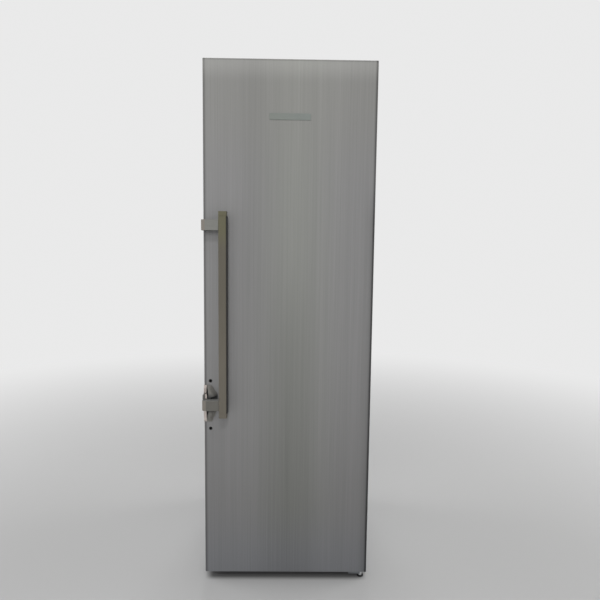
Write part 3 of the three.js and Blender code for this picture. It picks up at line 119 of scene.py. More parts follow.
class Signal:
    """One output socket. Each operator adds a Math node to the shader that the socket belongs to."""

    def __init__(self, shader, socket):
        self.shader = shader
        self.socket = socket

    def maths(self, operation, *values):
        return self.shader.node("ShaderNodeMath", {"operation": operation}, dict(enumerate(values)))

    def __add__(self, other):
        return self.maths("ADD", self, other)

    def __radd__(self, other):
        return self.maths("ADD", other, self)

    def __sub__(self, other):
        return self.maths("SUBTRACT", self, other)

    def __rsub__(self, other):
        return self.maths("SUBTRACT", other, self)

    def __mul__(self, other):
        return self.maths("MULTIPLY", self, other)

    def __rmul__(self, other):
        return self.maths("MULTIPLY", other, self)

    def __truediv__(self, other):
        return self.maths("DIVIDE", self, other)

    def __pow__(self, other):
        return self.maths("POWER", self, other)

    def size(self):
        return self.maths("ABSOLUTE", self)

    def step(self, low, high):
        """0 below low, 1 above high, and a smooth climb between; low above high turns it round."""
        limits = {"From Min": low, "From Max": high, 0: self}
        return self.shader.node("ShaderNodeMapRange", {"interpolation_type": "SMOOTHSTEP"}, limits)

    def bell(self, centre, width):
        """1 at the centre and falling to 0 on both sides, as exp(-((x - centre) / width) squared)."""
        share = (self - centre) / width
        return self.maths("EXPONENT", share * share * -1)


# %% A shader is a material's node tree


class Shader:
    """A material with one Principled BSDF, whose sockets take numbers, colours and signals."""

    def __init__(self, name, sockets):
        self.material = bpy.data.materials.new(name)
        self.material.use_nodes = True
        self.tree = self.material.node_tree
        self.principled = self.tree.nodes["Principled BSDF"]
        self.fill(self.principled, sockets)

    def fill(self, node, sockets):
        for key, value in sockets.items():
            target = node.inputs[key]
            if isinstance(value, Signal):
                self.tree.links.new(value.socket, target)
            else:
                target.default_value = value

    def node(self, kind, settings=None, sockets=None, output=0):
        """Adds a node: its settings first, then its sockets, and gives back one of its outputs."""
        made = self.tree.nodes.new(kind)
        for key, value in (settings or {}).items():
            setattr(made, key, value)
        self.fill(made, sockets or {})
        return Signal(self, made.outputs[output])

    def place(self):
        """Where a point is, in metres: every object sits at the origin, so Object coordinates say it."""
        return self.node("ShaderNodeTexCoord", output="Object")

    def axes(self):
        """The x, y and z of a point, as three signals."""
        split = self.node("ShaderNodeSeparateXYZ", None, {0: self.place()})
        return [Signal(self, socket) for socket in split.socket.node.outputs]

    def noise(self, grains, detail=2.0, shift=0.0):
        """Noise between 0 and 1, with this many grains in a metre along x, y and z."""
        sockets = {"Vector": self.place(), "Location": (shift,) * 3, "Scale": grains}
        mapped = self.node("ShaderNodeMapping", None, sockets)
        return self.node("ShaderNodeTexNoise", None, {"Vector": mapped, "Scale": 1.0, "Detail": detail})

    def mix(self, factor, first, second):
        """A blend of two colours."""
        return self.node("ShaderNodeMix", {"data_type": "RGBA"}, {0: factor, 6: first, 7: second}, 2)

    def tinted(self, colour, factor):
        """A colour made lighter or darker by a signal, which is 1 where it stays as it is."""
        grey = self.node("ShaderNodeCombineXYZ", None, {0: factor, 1: factor, 2: factor})
        base = colour if isinstance(colour, Signal) else tuple(colour[:3])
        return self.node("ShaderNodeVectorMath", {"operation": "MULTIPLY"}, {0: base, 1: grey})

    def bump(self, height, distance, strength=1.0):
        """A normal tilted by a height signal, whose 0 to 1 is this distance in metres."""
        sockets = {"Height": height, "Distance": distance, "Strength": strength}
        return self.node("ShaderNodeBump", None, sockets)

    def finish(self, sockets):
        self.fill(self.principled, sockets)
        return self.material


def rgba(slot):
    """A slot's colour from the record, with full alpha."""
    return tuple(finishes[slot]["base_color"][:3]) + (1.0,)


def opened(slot, roughness, metallic=0.0, **more):
    """A shader for a slot with the numbers that are the same all over."""
    sockets = {"Base Color": rgba(slot), "Roughness": roughness, "Metallic": metallic}
    sockets.update({key.replace("_", " "): value for key, value in more.items()})
    return Shader(slot, sockets)


# %% [markdown]
# ## The door's brushed steel
# The sheet is drawn through abrasive rollers, so its scratches all run up the door. Each is a fraction of a
# millimetre wide and several centimetres long: noise with hundreds of grains across and only a few up does
# this. Broader, fainter bands come from the rollers' wear. The door is darker towards its foot, its right
# edge and its lower middle, and lighter at its top. The lights give a part of that, and the rest is painted
# shade and a painted highlight in the colour, so it stays when the light changes. Thin lines of painted
# shade run along the folded left, right and top edges.

# %% Brushed steel


def door_steel():
    shader = opened("door_steel", 0.45, 0.28, Anisotropic=0.4)
    x, y, z = shader.axes()
    scratches = shader.noise((1500, 1500, 5), 3.0)
    streaks = shader.noise((260, 260, 1.6), 3.0, 7.0)
    bands = shader.noise((16, 16, 0.5), 1.0, 3.0)
    # Painted shade: the lower middle, a band on the left, the right edge with its lower part, and the foot.
    middle = x.bell(0.005, 0.10) * z.step(1.25, 0.80)
    painted_left_band_shade = x.bell(-0.125, 0.05) * z.step(0.7, 1.2)
    painted_low_edge_shade = x.step(0.255, 0.292) * z.step(1.46, 1.3)
    painted_foot_shade = z.step(0.9, 0.03)
    painted_right_edge_shade = x.step(0.08, 0.27)
    # A painted highlight along the top, and painted shade in thin lines along the folded edges.
    painted_top_highlight = z.step(1.77, 1.84)
    painted_left_fold_shade = x.bell(-0.2925, 0.0036)
    painted_right_fold_shade = x.bell(0.2930, 0.0038)
    painted_top_fold_shade = z.bell(1.8465, 0.0018)
    tone = 0.935 + (scratches - 0.5) * 0.16 + (streaks - 0.5) * 0.22 + (bands - 0.5) * 0.10
    tone = tone - middle * 0.14 - painted_left_band_shade * 0.07 - painted_right_edge_shade * 0.08 - painted_low_edge_shade * 0.16 + painted_top_highlight * 0.23
    tone = tone - painted_left_fold_shade * 0.42 - painted_right_fold_shade * 0.55 - painted_top_fold_shade * 0.3 - painted_foot_shade * 0.10
    olive = shader.mix(x.bell(0.02, 0.12) * 0.9, (0.257, 0.255, 0.255, 1), (0.252, 0.257, 0.240, 1))
    warm = shader.mix(z.step(1.40, 1.75) * 0.7, olive, (0.258, 0.257, 0.243, 1))
    cool = shader.mix(z.step(0.32, 0.0), warm, (0.250, 0.256, 0.270, 1))
    return shader.finish({
        "Base Color": shader.tinted(cool, tone),
        "Roughness": 0.43 + scratches * 0.08 + (bands - 0.5) * 0.05,
        "Normal": shader.bump(scratches, 0.00002, 0.35),
    })


# %% [markdown]
# ## The handle's metals
# The bar is a satin extrusion, olive grey, with fine lines along its length. Its arms are castings of a
# lighter grey, and the brackets behind them are left as cast, so they are duller and slightly pitted.

# %% Handle metals
arm_level = (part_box("lower_arm")[0][2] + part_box("lower_arm")[1][2]) / 2
upper_arm_level = (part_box("upper_arm")[0][2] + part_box("upper_arm")[1][2]) / 2


def drawn_metal(slot, roughness, grains, depth=0.00002, metallic=1.0, colour=None):
    shader = opened(slot, roughness, metallic)
    lines = shader.noise(grains, 3.0)
    cloud = shader.noise((30, 30, 12), 2.0, 5.0)
    tone = 1 + (lines - 0.5) * 0.22 + (cloud - 0.5) * 0.12
    return shader.finish({
        "Base Color": shader.tinted(colour(shader) if colour else rgba(slot), tone),
        "Roughness": roughness + (lines - 0.5) * 0.12,
        "Normal": shader.bump(lines, depth, 0.5),
    })


def bar_colour(shader):
    """Olive towards the bar's top and warmer towards its foot, in long soft patches."""
    z = shader.axes()[2]
    patches = shader.noise((20, 20, 9), 2.0, 11.0)
    low_share = z.step(1.15, 0.70) + (patches - 0.5) * 0.3
    foot = shader.mix(low_share, (0.124, 0.113, 0.089, 1), (0.158, 0.143, 0.116, 1))
    return shader.mix(z.step(1.20, 1.28), foot, (0.136, 0.128, 0.082, 1))


def arm_colour_and_painted_light(shader):
    """The upper arm is painted lighter than the lower one, and the rounded end of each lighter and warmer:
    painted light on one casting. The top of the lower one carries a painted highlight, and the hollow inside
    of both is painted black as shade."""
    x, y, z = shader.axes()
    # The upper mask lights the upper arm and the end colours light the rounded ends: painted light.
    upper = z.step(0.85, 1.1)
    front = shader.mix(upper, (0.143, 0.138, 0.124, 1), (0.209, 0.209, 0.194, 1))
    end = shader.mix(upper, (0.230, 0.212, 0.185, 1), (0.224, 0.204, 0.181, 1))
    face = shader.mix(x.step(-0.2825, -0.2850), front, end)
    # A painted highlight on the lower arm's top face.
    painted_arm_top_highlight = z.step(arm_level + 0.0170, arm_level + 0.0176) * (1 - upper)
    # The hollow inside both arms is painted black as shade.
    lower_hollow_painted_shade = z.step(arm_level + 0.0142, arm_level + 0.0138)
    upper_hollow_painted_shade = z.step(upper_arm_level + 0.0142, upper_arm_level + 0.0138) * upper
    inside = x.step(-0.2932, -0.2926) * y.step(-0.3326, -0.3318) * (lower_hollow_painted_shade + upper_hollow_painted_shade)
    return shader.mix(inside, shader.mix(painted_arm_top_highlight, face, (0.24, 0.24, 0.23, 1)), (0.035, 0.035, 0.035, 1))


def badge_colour(shader):
    """A plain grey plate, a shade greener than the door."""
    x = shader.axes()[0]
    return shader.mix(x.step(-0.06, 0.06), (0.213, 0.230, 0.212, 1), (0.214, 0.234, 0.220, 1))


def bracket_colour_and_painted_light(shader):
    """Light cast metal, painted lighter below the arm. Painted shade darkens it on both sides of the lower
    arm, and more deeply in the gap between the rail and the ears.
    """
    x, y, z = shader.axes()
    # Painted shade on both sides of the lower arm.
    painted_shade_by_arm = (z - arm_level).size().step(0.040, 0.019)
    # A darker painted shade in the gap between the rail and the ears.
    behind = y.step(-0.2925, -0.2912) * x.step(-0.2890, -0.2875) * x.step(-0.2740, -0.2760)
    # Lighter below the arm: painted light.
    bare_with_painted_light = shader.mix(z.step(arm_level, arm_level - 0.02), (0.182, 0.177, 0.163, 1), (0.225, 0.218, 0.200, 1))
    shaded_by_arm = shader.mix(painted_shade_by_arm, bare_with_painted_light, (0.055, 0.055, 0.056, 1))
    return shader.mix(behind * (z - arm_level).size().step(0.054, 0.040), shaded_by_arm, (0.022, 0.022, 0.022, 1))


def cast_metal(slot, roughness, pits=900, metallic=1.0, colour=None):
    shader = opened(slot, roughness, metallic)
    skin = shader.noise((pits, pits, pits), 3.0)
    cloud = shader.noise((60, 60, 60), 2.0, 5.0)
    tone = 1 + (skin - 0.5) * 0.20 + (cloud - 0.5) * 0.18
    return shader.finish({
        "Base Color": shader.tinted(colour(shader) if colour else rgba(slot), tone),
        "Roughness": roughness + (cloud - 0.5) * 0.15,
        "Normal": shader.bump(skin, 0.00008, 0.6),
    })


# %% [markdown]
# ## Painted sheet, enamel and zinc
# Paint on sheet steel dries with a faint orange peel: shallow bumps a few millimetres across. Stoved enamel
# has the same but smoother, and bare zinc plating shows crystals, which a Voronoi pattern gives.

# %% Painted and plated sheet


def painted_sheet(slot, roughness, peel=350, depth=0.00004):
    shader = opened(slot, roughness, 0.35 if slot == "cabinet_steel" else 0.0)
    skin = shader.noise((peel, peel, peel), 2.0)
    cloud = shader.noise((9, 9, 5), 2.0, 4.0)
    return shader.finish({
        "Base Color": shader.tinted(rgba(slot), 1 + (cloud - 0.5) * 0.10 + (skin - 0.5) * 0.04),
        "Roughness": roughness + (cloud - 0.5) * 0.12,
        "Normal": shader.bump(skin, depth, 0.5),
    })


def plated_sheet(slot, roughness, crystals=140):
    shader = opened(slot, roughness, 1.0)
    scale = {"Vector": shader.place(), "Scale": float(crystals)}
    spangle = shader.node("ShaderNodeTexVoronoi", {"feature": "F1"}, scale, "Color")
    grey = shader.node("ShaderNodeRGBToBW", None, {0: spangle})
    haze = shader.noise((40, 40, 40), 3.0)
    return shader.finish({
        "Base Color": shader.tinted(rgba(slot), 1 + (grey - 0.5) * 0.26 + (haze - 0.5) * 0.18),
        "Roughness": roughness + (grey - 0.5) * 0.16,
        "Normal": shader.bump(haze, 0.00003, 0.5),
    })


# %% [markdown]
# ## Plastics
# Moulded parts copy the skin of their mould. The liner is smooth with a long, low waviness from the vacuum
# forming; caps and covers have a fine spark-eroded grain; clear bins are polished, with a slight haze.

# %% Plastics


def moulded(slot, roughness, grain=1600, depth=0.00005, waviness=18, **more):
    shader = opened(slot, roughness, 0.0, **more)
    skin = shader.noise((grain, grain, grain), 2.0)
    wave = shader.noise((waviness, waviness, waviness), 2.0, 9.0)
    return shader.finish({
        "Base Color": shader.tinted(rgba(slot), 1 + (wave - 0.5) * 0.05 + (skin - 0.5) * 0.05),
        "Roughness": roughness + (wave - 0.5) * 0.10 + (skin - 0.5) * 0.06,
        "Normal": shader.bump(skin * 0.4 + wave * 0.6, depth, 0.5),
    })


def clear(slot, roughness, ior, haze):
    shader = opened(slot, roughness, 0.0, Transmission_Weight=0.92, IOR=ior)
    cloud = shader.noise((14, 14, 14), 3.0)
    fine = shader.noise((500, 500, 500), 2.0, 6.0)
    return shader.finish({
        "Base Color": shader.tinted(rgba(slot), 1 + (cloud - 0.5) * 0.06),
        "Roughness": roughness + cloud * haze,
        "Normal": shader.bump(fine, 0.00001, 0.3),
    })


def lamp_cover(slot):
    shader = opened(slot, 0.45, 0.0, Emission_Strength=0.9)
    ribs = shader.noise((900, 900, 900), 1.0)
    glow = shader.noise((20, 20, 20), 1.0, 4.0)
    return shader.finish({
        "Emission Color": shader.tinted(rgba(slot), 0.9 + (glow - 0.5) * 0.2),
        "Roughness": 0.4 + ribs * 0.1,
        "Normal": shader.bump(ribs, 0.00004, 0.5),
    })


def foam(slot):
    """Foam with small cells. Where it borders on the compressor's bay it is faced with a grey sheet."""
    shader = opened(slot, 0.95)
    cells = shader.node("ShaderNodeTexVoronoi", {"feature": "F1"}, {"Vector": shader.place(), "Scale": 700.0})
    cloud = shader.noise((12, 12, 12), 3.0)
    x, y, z = shader.axes()
    bay = y.step(0.020, 0.024) * z.step(0.300, 0.296)
    faced = shader.mix(bay, rgba(slot), rgba("galvanised_steel"))
    return shader.finish({
        "Base Color": shader.tinted(faced, 1 + (cloud - 0.5) * 0.2 - cells * 0.12),
        "Roughness": 0.9 + cloud * 0.08,
        "Normal": shader.bump(cells, 0.0004, 0.8),
    })


# %% One material for each slot
materials = {
    "door_steel": door_steel(),
    "handle_metal": drawn_metal("handle_metal", 0.42, (1800, 1800, 8), 0.00002, 0.5, bar_colour),
    "arm_metal": drawn_metal("arm_metal", 0.42, (700, 700, 700), 0.00003, 0.4, arm_colour_and_painted_light),
    "badge_metal": drawn_metal("badge_metal", 0.42, (10, 10, 2200), 0.00002, 0.5, badge_colour),
    "aluminium_plate": drawn_metal("aluminium_plate", 0.4, (12, 12, 900)),
    "copper_pipe": drawn_metal("copper_pipe", 0.42, (300, 300, 300)),
    "bracket_metal": cast_metal("bracket_metal", 0.62, 900, 0.4, bracket_colour_and_painted_light),
    "bright_steel": cast_metal("bright_steel", 0.25, 400, 0.4),
    "pin_steel": cast_metal("pin_steel", 0.38, 700),
    "cabinet_steel": painted_sheet("cabinet_steel", 0.42),
    "black_enamel": painted_sheet("black_enamel", 0.34),
    "galvanised_steel": plated_sheet("galvanised_steel", 0.5),
    "hinge_steel": plated_sheet("hinge_steel", 0.42, 420),
    "white_liner": moulded("white_liner", 0.30, 1100, 0.00006),
    "pale_plastic": moulded("pale_plastic", 0.48),
    "grey_plastic": moulded("grey_plastic", 0.55),
    "black_plastic": moulded("black_plastic", 0.60),
    "button_plastic": moulded("button_plastic", 0.42),
    "display_glass": moulded("display_glass", 0.10, 300, 0.00001),
    "gasket_rubber": moulded("gasket_rubber", 0.72, 900, 0.00008),
    "light_diffuser": lamp_cover("light_diffuser"),
    "shelf_glass": clear("shelf_glass", 0.02, 1.5, 0.05),
    "clear_plastic": clear("clear_plastic", 0.06, 1.49, 0.12),
    "insulation_foam": foam("insulation_foam"),
}
print("finishes made:", len(materials), "for", len(finishes), "slots")

# %% [markdown]
# ## Softening the frame's edges
# A real edge is never sharp: it is folded, cast or moulded to a small radius, and that radius catches the
# light. The frame's meshes are loose triangles, so a copy has its corners merged and its flat faces made
# whole again; a Bevel modifier then rounds each edge that turns by more than a set angle. The copy stands
# for its node, which stays in the frame for the physics.

# %% Rounded copies


def dress(piece, slot, body):
    """Gives a piece the material of a slot, and the body that it moves with."""
    piece.data.materials.clear()
    piece.data.materials.append(materials[slot])
    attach(piece, body)
    return piece


def placed(name, mesh):
    piece = bpy.data.objects.new(name, mesh)
    bpy.context.scene.collection.objects.link(piece)
    return piece


def soften(piece, radius, turn=34):
    """A Bevel modifier that rounds the edges which turn by more than an angle in degrees."""
    bevel = piece.modifiers.new("edges", "BEVEL")
    bevel.width = radius
    bevel.segments = 2
    bevel.limit_method = "ANGLE"
    bevel.angle_limit = math.radians(turn)
    bevel.harden_normals = True


def rounded_copy(node, radius, turn=34):
    """A merged copy of a node whose edges are rounded to a radius in metres where they turn sharply."""
    shape = bmesh.new()
    shape.from_mesh(frame["nodes"][node].data)
    bmesh.ops.remove_doubles(shape, verts=shape.verts, dist=0.00002)
    bmesh.ops.dissolve_limit(shape, angle_limit=math.radians(0.4), verts=shape.verts, edges=shape.edges)
    mesh = bpy.data.meshes.new(node + "_rounded")
    shape.to_mesh(mesh)
    shape.free()
    mesh.shade_smooth()
    mesh.set_sharp_from_angle(angle=math.radians(turn))
    piece = placed(node + "_rounded", mesh)
    soften(piece, radius, turn)
    dress(piece, slot_of[node], body_of[node])
    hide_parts(node)


edge_radii = {
    0.0012: ["handle_bar", "upper_bar_cap", "lower_bar_cap", "upper_arm", "lower_arm"],
    0.0008: ["door_top_cap", "door_bottom_cap", "upper_drawer", "lower_drawer", "bottle_bin",
             "middle_door_bin", "upper_door_bin", "dairy_bin", "dairy_lid", "control_panel", "ceiling_light",
             "fan_cover", "terminal_box", "evaporation_tray", "bottle_rack", "upper_bracket",
             "plinth_grille", "circulation_fan", "door_liner", "inner_liner"],
    0.0005: ["hinge_cover", "badge_plate", "lower_hinge", "upper_hinge", "base_frame", "pusher",
             "upper_pivot_pin", "lower_pivot_pin", "power_button", "colder_button", "fast_cool_button",
             "display_lens"],
    0.0003: ["outer_cabinet", "door_skin"],
}
for radius, nodes in edge_radii.items():
    for node in nodes:
        rounded_copy(node, radius)
for node, source in frame["nodes"].items():
    source.data.materials.clear()
    source.data.materials.append(materials[slot_of[node]])
print("rounded copies:", sum(len(nodes) for nodes in edge_radii.values()))

# %% [markdown]
# ## Surfaces on a grid
# The remaining pieces are turned, bent or extruded on the real refrigerator. Each is worked out as a grid of
# points over two parameters: a profile and an angle for a turned foot, a route and an angle for a bent tube.
# The grid goes into a mesh in one call, and neighbours on the grid become faces.

# %% A mesh from a grid


def grid_faces(rows, columns, closed=(False, False), ends=False):
    """Faces that join point (i, j) to its neighbours; a closed parameter joins its last points to its first,
    and ends puts one face over the first row and one over the last."""
    index = np.arange(rows * columns).reshape(rows, columns)
    lids = [index[0][::-1].tolist(), index[-1].tolist()] if ends else []
    for axis in (0, 1):
        if closed[axis]:
            index = np.concatenate([index, index.take([0], axis)], axis)
    quads = np.stack([index[:-1, :-1], index[1:, :-1], index[1:, 1:], index[:-1, 1:]], axis=-1)
    return quads.reshape(-1, 4).tolist() + lids


def shaped(name, grids, closed, ends, slot, body, turn=34):
    """One piece from grids of equal size, each a closed shell, with its faces turned outwards."""
    grids = np.array(grids, float)
    count, rows, columns = grids.shape[:3]
    once = grid_faces(rows, columns, closed, ends)
    faces = [[corner + k * rows * columns for corner in face] for k in range(count) for face in once]
    mesh = bpy.data.meshes.new(name)
    mesh.from_pydata(grids.reshape(-1, 3).tolist(), [], faces)
    shape = bmesh.new()
    shape.from_mesh(mesh)
    bmesh.ops.remove_doubles(shape, verts=shape.verts, dist=0.000002)
    bmesh.ops.dissolve_degenerate(shape, edges=shape.edges, dist=0.000001)
    bmesh.ops.recalc_face_normals(shape, faces=shape.faces)
    shape.to_mesh(mesh)
    shape.free()
    mesh.shade_smooth()
    mesh.set_sharp_from_angle(angle=math.radians(turn))
    piece = dress(placed(name, mesh), slot, body)
    print(name, "faces:", len(mesh.polygons))
    return piece


# %% Eased corners, turned profiles and tubes


def eased(corners, reach, steps=4):
    """A path whose corners are eased: from a to b, which lie at the reach before and after a corner c, it
    follows (1 - t) squared times a, plus 2 t (1 - t) times c, plus t squared times b."""
    corners = np.array(corners, float)
    before, corner, after = corners[:-2], corners[1:-1], corners[2:]
    share = np.linspace(0, 1, steps + 1)[None, :, None]

    def towards(other):
        gap = other - corner
        length = np.linalg.norm(gap, axis=1, keepdims=True)
        return (corner + gap / length * np.minimum(reach, length * 0.49))[:, None]

    bend = (1 - share) ** 2 * towards(before) + share ** 2 * towards(after)
    bend = bend + 2 * share * (1 - share) * corner[:, None]
    return np.concatenate([corners[:1], bend.reshape(-1, corners.shape[1]), corners[-1:]])


def turned(profile, centre, axis, count=32):
    """A profile of (radius, height) turned about an axis through a centre: radius times the cosine and sine
    of an angle square to the axis, and height along it."""
    axis = np.array(axis, float)
    side = np.array(Vector(axis).orthogonal().normalized())
    angle = np.linspace(0, 2 * np.pi, count, endpoint=False)[:, None]
    ring = np.cos(angle) * side + np.sin(angle) * np.cross(axis, side)
    radius, height = np.array(profile, float).T
    return np.array(centre) + height[:, None, None] * axis + radius[:, None, None] * ring


def tube(route, radius, count=10, square_to=(0.31, 0.83, 0.46)):
    """Rings along a route: the radius times the cosine and sine of an angle, square to its direction."""
    route = np.array(route, float)
    along = np.gradient(route, axis=0)
    along = along / np.linalg.norm(along, axis=1, keepdims=True)
    side = np.cross(along, np.array(square_to))
    side = side / np.linalg.norm(side, axis=1, keepdims=True)
    angle = np.linspace(0, 2 * np.pi, count, endpoint=False)[None, :, None]
    ring = np.cos(angle) * side[:, None] + np.sin(angle) * np.cross(along, side)[:, None]
    return route[:, None] + radius * ring


ring_closed = (False, True)
up_axis = (0, 0, 1)


def middle_of(node):
    low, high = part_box(node)
    return (np.array(low) + np.array(high)) / 2


# %% [markdown]
# ## The dark strip along the handle's bar
# Along its right side the bar carries a dark strip, which stops short of the end caps and wraps round about
# half of the rounded corner. It is a thin extrusion: a closed outline in plan, carried up the bar.

# %% Strip of the bar
bar_low, bar_high = (np.array(corner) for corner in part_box("handle_bar"))
bar_corner = 0.005
strip_proud = 0.0022
strip_sunk = 0.0006
strip_end = 0.0008
strip_wrap = 42
strip_back_share = 0.6


def bar_strip():
    """The outline runs along the bar's right side and round its corner by the wrap's angle, once outside and
    once back inside."""
    angle = np.radians(np.linspace(0, strip_wrap, 7))
    corner = np.array([bar_high[0] - bar_corner, bar_low[1] + bar_corner])

    def side(offset):
        radius = bar_corner + offset
        arc = corner + radius * np.stack([np.cos(angle), -np.sin(angle)], axis=1)
        start = [[bar_high[0] + offset, bar_high[1] - bar_corner * strip_back_share]]
        return np.concatenate([start, arc])

    plan = np.concatenate([side(strip_proud), side(-strip_sunk)[::-1]])
    heights = np.array([bar_low[2] + strip_end, bar_high[2] - strip_end])
    points = np.array([np.column_stack([plan, np.full(len(plan), z)]) for z in heights])
    shaped("bar_strip", [points], ring_closed, True, "black_plastic", body_of["handle_bar"])


bar_strip()

# %% [markdown]
# ## The lower bracket
# The bracket behind the lower arm is a casting: a plate screwed to the door, a bright rail along the door's
# edge, and above and below the arm a hollow ear that tapers away to the plate. Its places are given as the
# distance inwards from the door's left edge, the distance proud of its face and the rise above the arm.

# %% Bracket's plate, rails and bearings
bracket_body = body_of["lower_bracket"]
door_edge, door_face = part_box("door_skin")[0][:2]
plate_face = 0.0030
plate_gap = 0.0003
rail_width = 0.0100
rail_proud = 0.011
bearing_bore = 0.0033
bearing_radius = 0.0064
bearing_height = 0.0095
ear_wall = 0.0024


def on_bracket(inward, proud, rise):
    """A point of the bracket, or arrays of them, in the frame's metres."""
    across = door_edge + np.array(inward)
    ahead = door_face - np.array(proud)
    return np.stack(np.broadcast_arrays(across, ahead, arm_level + np.array(rise)), axis=-1)


def extruded(name, outline, low, high, place, slot, radius=0.0006):
    """An outline carried from low to high, with softened edges; place turns the three numbers of a point into
    metres."""
    first, second = np.array(outline, float).T
    rings = [place(first, second, level) for level in (low, high)]
    piece = shaped(name, [rings], ring_closed, True, slot, bracket_body)
    soften(piece, radius)
    return piece


def bracket_plate():
    outline = [(0, 0.062), (0.024, 0.062), (0.048, 0.024), (0.048, -0.024), (0.028, -0.072), (0, -0.072),
               (0, -0.0186), (0.0078, -0.0186), (0.0078, 0.0345), (0, 0.0345)]
    plate = extruded("bracket_plate", outline, plate_gap, plate_face,
                     lambda inward, rise, proud: on_bracket(inward, proud, rise), "bracket_metal")
    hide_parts("lower_bracket")


def bracket_rails():
    """The rails along the door's edge, each sloped off at its far end."""
    for name, near, far, way in (("upper_rail", 0.0345, 0.0622, 1), ("lower_rail", -0.0186, -0.0722, -1)):
        outline = [(plate_face, near), (rail_proud, near), (rail_proud, far - way * 0.010), (plate_face, far)]
        rail = extruded(name, outline, 0, rail_width,
                        lambda proud, rise, inward: on_bracket(inward, proud, rise), "arm_metal", 0.0012)
        rail.data.materials[0] = rail_metal
    outline = [(0.0078, plate_face), (0.0078, 0.0278), (0.0140, 0.0278), (0.0140, 0.0266), (0.0102, 0.0266),
               (0.0102, plate_face)]
    foot = extruded("upper_rail_foot", outline, 0.0195, 0.0340, on_bracket, "arm_metal", 0.0004)
    foot.data.materials[0] = rail_metal


def bearings():
    """A ring round the pin above and below the arm, and the web that joins it to the plate."""
    profile = [(bearing_bore, 0), (bearing_radius, 0), (bearing_radius, bearing_height),
               (bearing_bore, bearing_height)]
    for name, rise in (("upper_bearing", 0.0188), ("lower_bearing", -0.0283)):
        centre = on_bracket(0.017, 0.020, rise)
        ring = turned(profile, centre, up_axis)
        shaped(name, [ring], (True, True), False, "black_plastic", bracket_body)
        outline = [(0.010, plate_face), (0.024, plate_face), (0.024, 0.0145), (0.010, 0.0145)]
        extruded(name + "_web", outline, rise, rise + bearing_height, on_bracket, "black_plastic")


def own_finish(name, slot, roughness, metallic, grain, colour):
    """A finish for one kind of piece, lighter than that of the slot which the piece stands under."""
    shader = opened(slot, roughness, metallic)
    skin = shader.noise((grain, grain, grain), 3.0)
    finish = shader.finish({
        "Base Color": shader.tinted(colour(shader), 1 + (skin - 0.5) * 0.2),
        "Normal": shader.bump(skin, 0.00005, 0.5),
    })
    finish.name = name
    return finish


def rail_colour_with_painted_light(shader):
    """Bare steel, whose warm tone is a painted reflection. The upper rail is darker than its foot and the
    lower rail, which are painted lighter against the shade they stand in.
    """
    # The lower rail and the upper rail's foot are painted lighter: painted light.
    low_share = shader.axes()[2].step(arm_level + 0.0346, arm_level + 0.0338)
    return shader.mix(low_share, (0.435, 0.386, 0.357, 1), (0.58, 0.52, 0.48, 1))


rail_metal = own_finish("rail_metal", "arm_metal", 0.5, 0.3, 600, rail_colour_with_painted_light)
pusher_plastic = own_finish("pusher_plastic", "black_plastic", 0.55, 0.0, 900,
                            lambda shader: (0.124, 0.122, 0.113))
bpy.data.objects["pusher_rounded"].data.materials[0] = pusher_plastic
bracket_plate()
bracket_rails()
bearings()

# %% Bracket's hollow ears
ear_table = {
    "upper_ear": [(0.0188, 0.0195, 0.040, 0.048, 0.0275), (0.030, 0.0190, 0.034, 0.044, 0.0272),
                  (0.041, 0.0178, 0.028, 0.038, 0.0255), (0.052, 0.0150, 0.023, 0.032, 0.0150),
                  (0.059, 0.0130, 0.020, 0.028, 0.0065), (0.0615, 0.0120, 0.019, 0.026, 0.0040)],
    "lower_ear": [(-0.0188, 0.0195, 0.034, 0.044, 0.0275), (-0.030, 0.0190, 0.031, 0.041, 0.0272),
                  (-0.044, 0.0182, 0.027, 0.036, 0.0250), (-0.057, 0.0182, 0.025, 0.032, 0.0150),
                  (-0.067, 0.0190, 0.024, 0.029, 0.0070), (-0.0712, 0.0200, 0.023, 0.027, 0.0042)],
}
ear_rows = 18
notch_depth = 0.008


def bracket_ear(name):
    """Each ring is the ear's section at one rise: the front wall from its left end to its right end, eased
    round the corner, down to its foot on the plate, and back inside by the wall's thickness. Near the arm the
    rings are bent away from it towards the right, by the notch's depth times a smooth step."""
    table = np.array(ear_table[name])
    along = np.linspace(0, 1, ear_rows)
    knots = np.linspace(0, 1, len(table))
    rise, left, right, foot, proud = (np.interp(along, knots, column) for column in table.T)
    rings = []
    for share, r, u0, u1, u2, p in zip(along, rise, left, right, foot, proud):
        wall = min(ear_wall, (p - plate_face) * 0.6)
        outer = eased([(u0, p), (u1, p), (u2, plate_face - 0.0002)], 0.005)
        inner = [(u2 - wall, plate_face - 0.0002), (u1 - wall * 0.6, p - wall), (u0, p - wall)]
        u, depth = np.concatenate([outer, inner]).T
        climb = np.clip((u - 0.024) / 0.014, 0, 1)
        bend = notch_depth * climb * climb * (3 - 2 * climb) * (1 - share) ** 2
        rings.append(on_bracket(u, depth, r + np.sign(r) * bend))
    shaped(name, [rings], ring_closed, True, "bracket_metal", bracket_body, 50)


for name in ear_table:
    bracket_ear(name)

# %% [markdown]
# ## Screw sockets
# The door has two open holes, one above and one below the lower bracket. Each is lined with a black plastic
# cup with a thin flange, turned from one profile, so that no foam shows. What they are for is not known.

# %% Screw sockets
socket_inset = 0.0225
socket_drop = 0.0107
socket_spacing = 0.174
socket_radius = 0.0052
socket_wall = 0.0007
socket_flange = 0.0062
socket_depth = 0.020


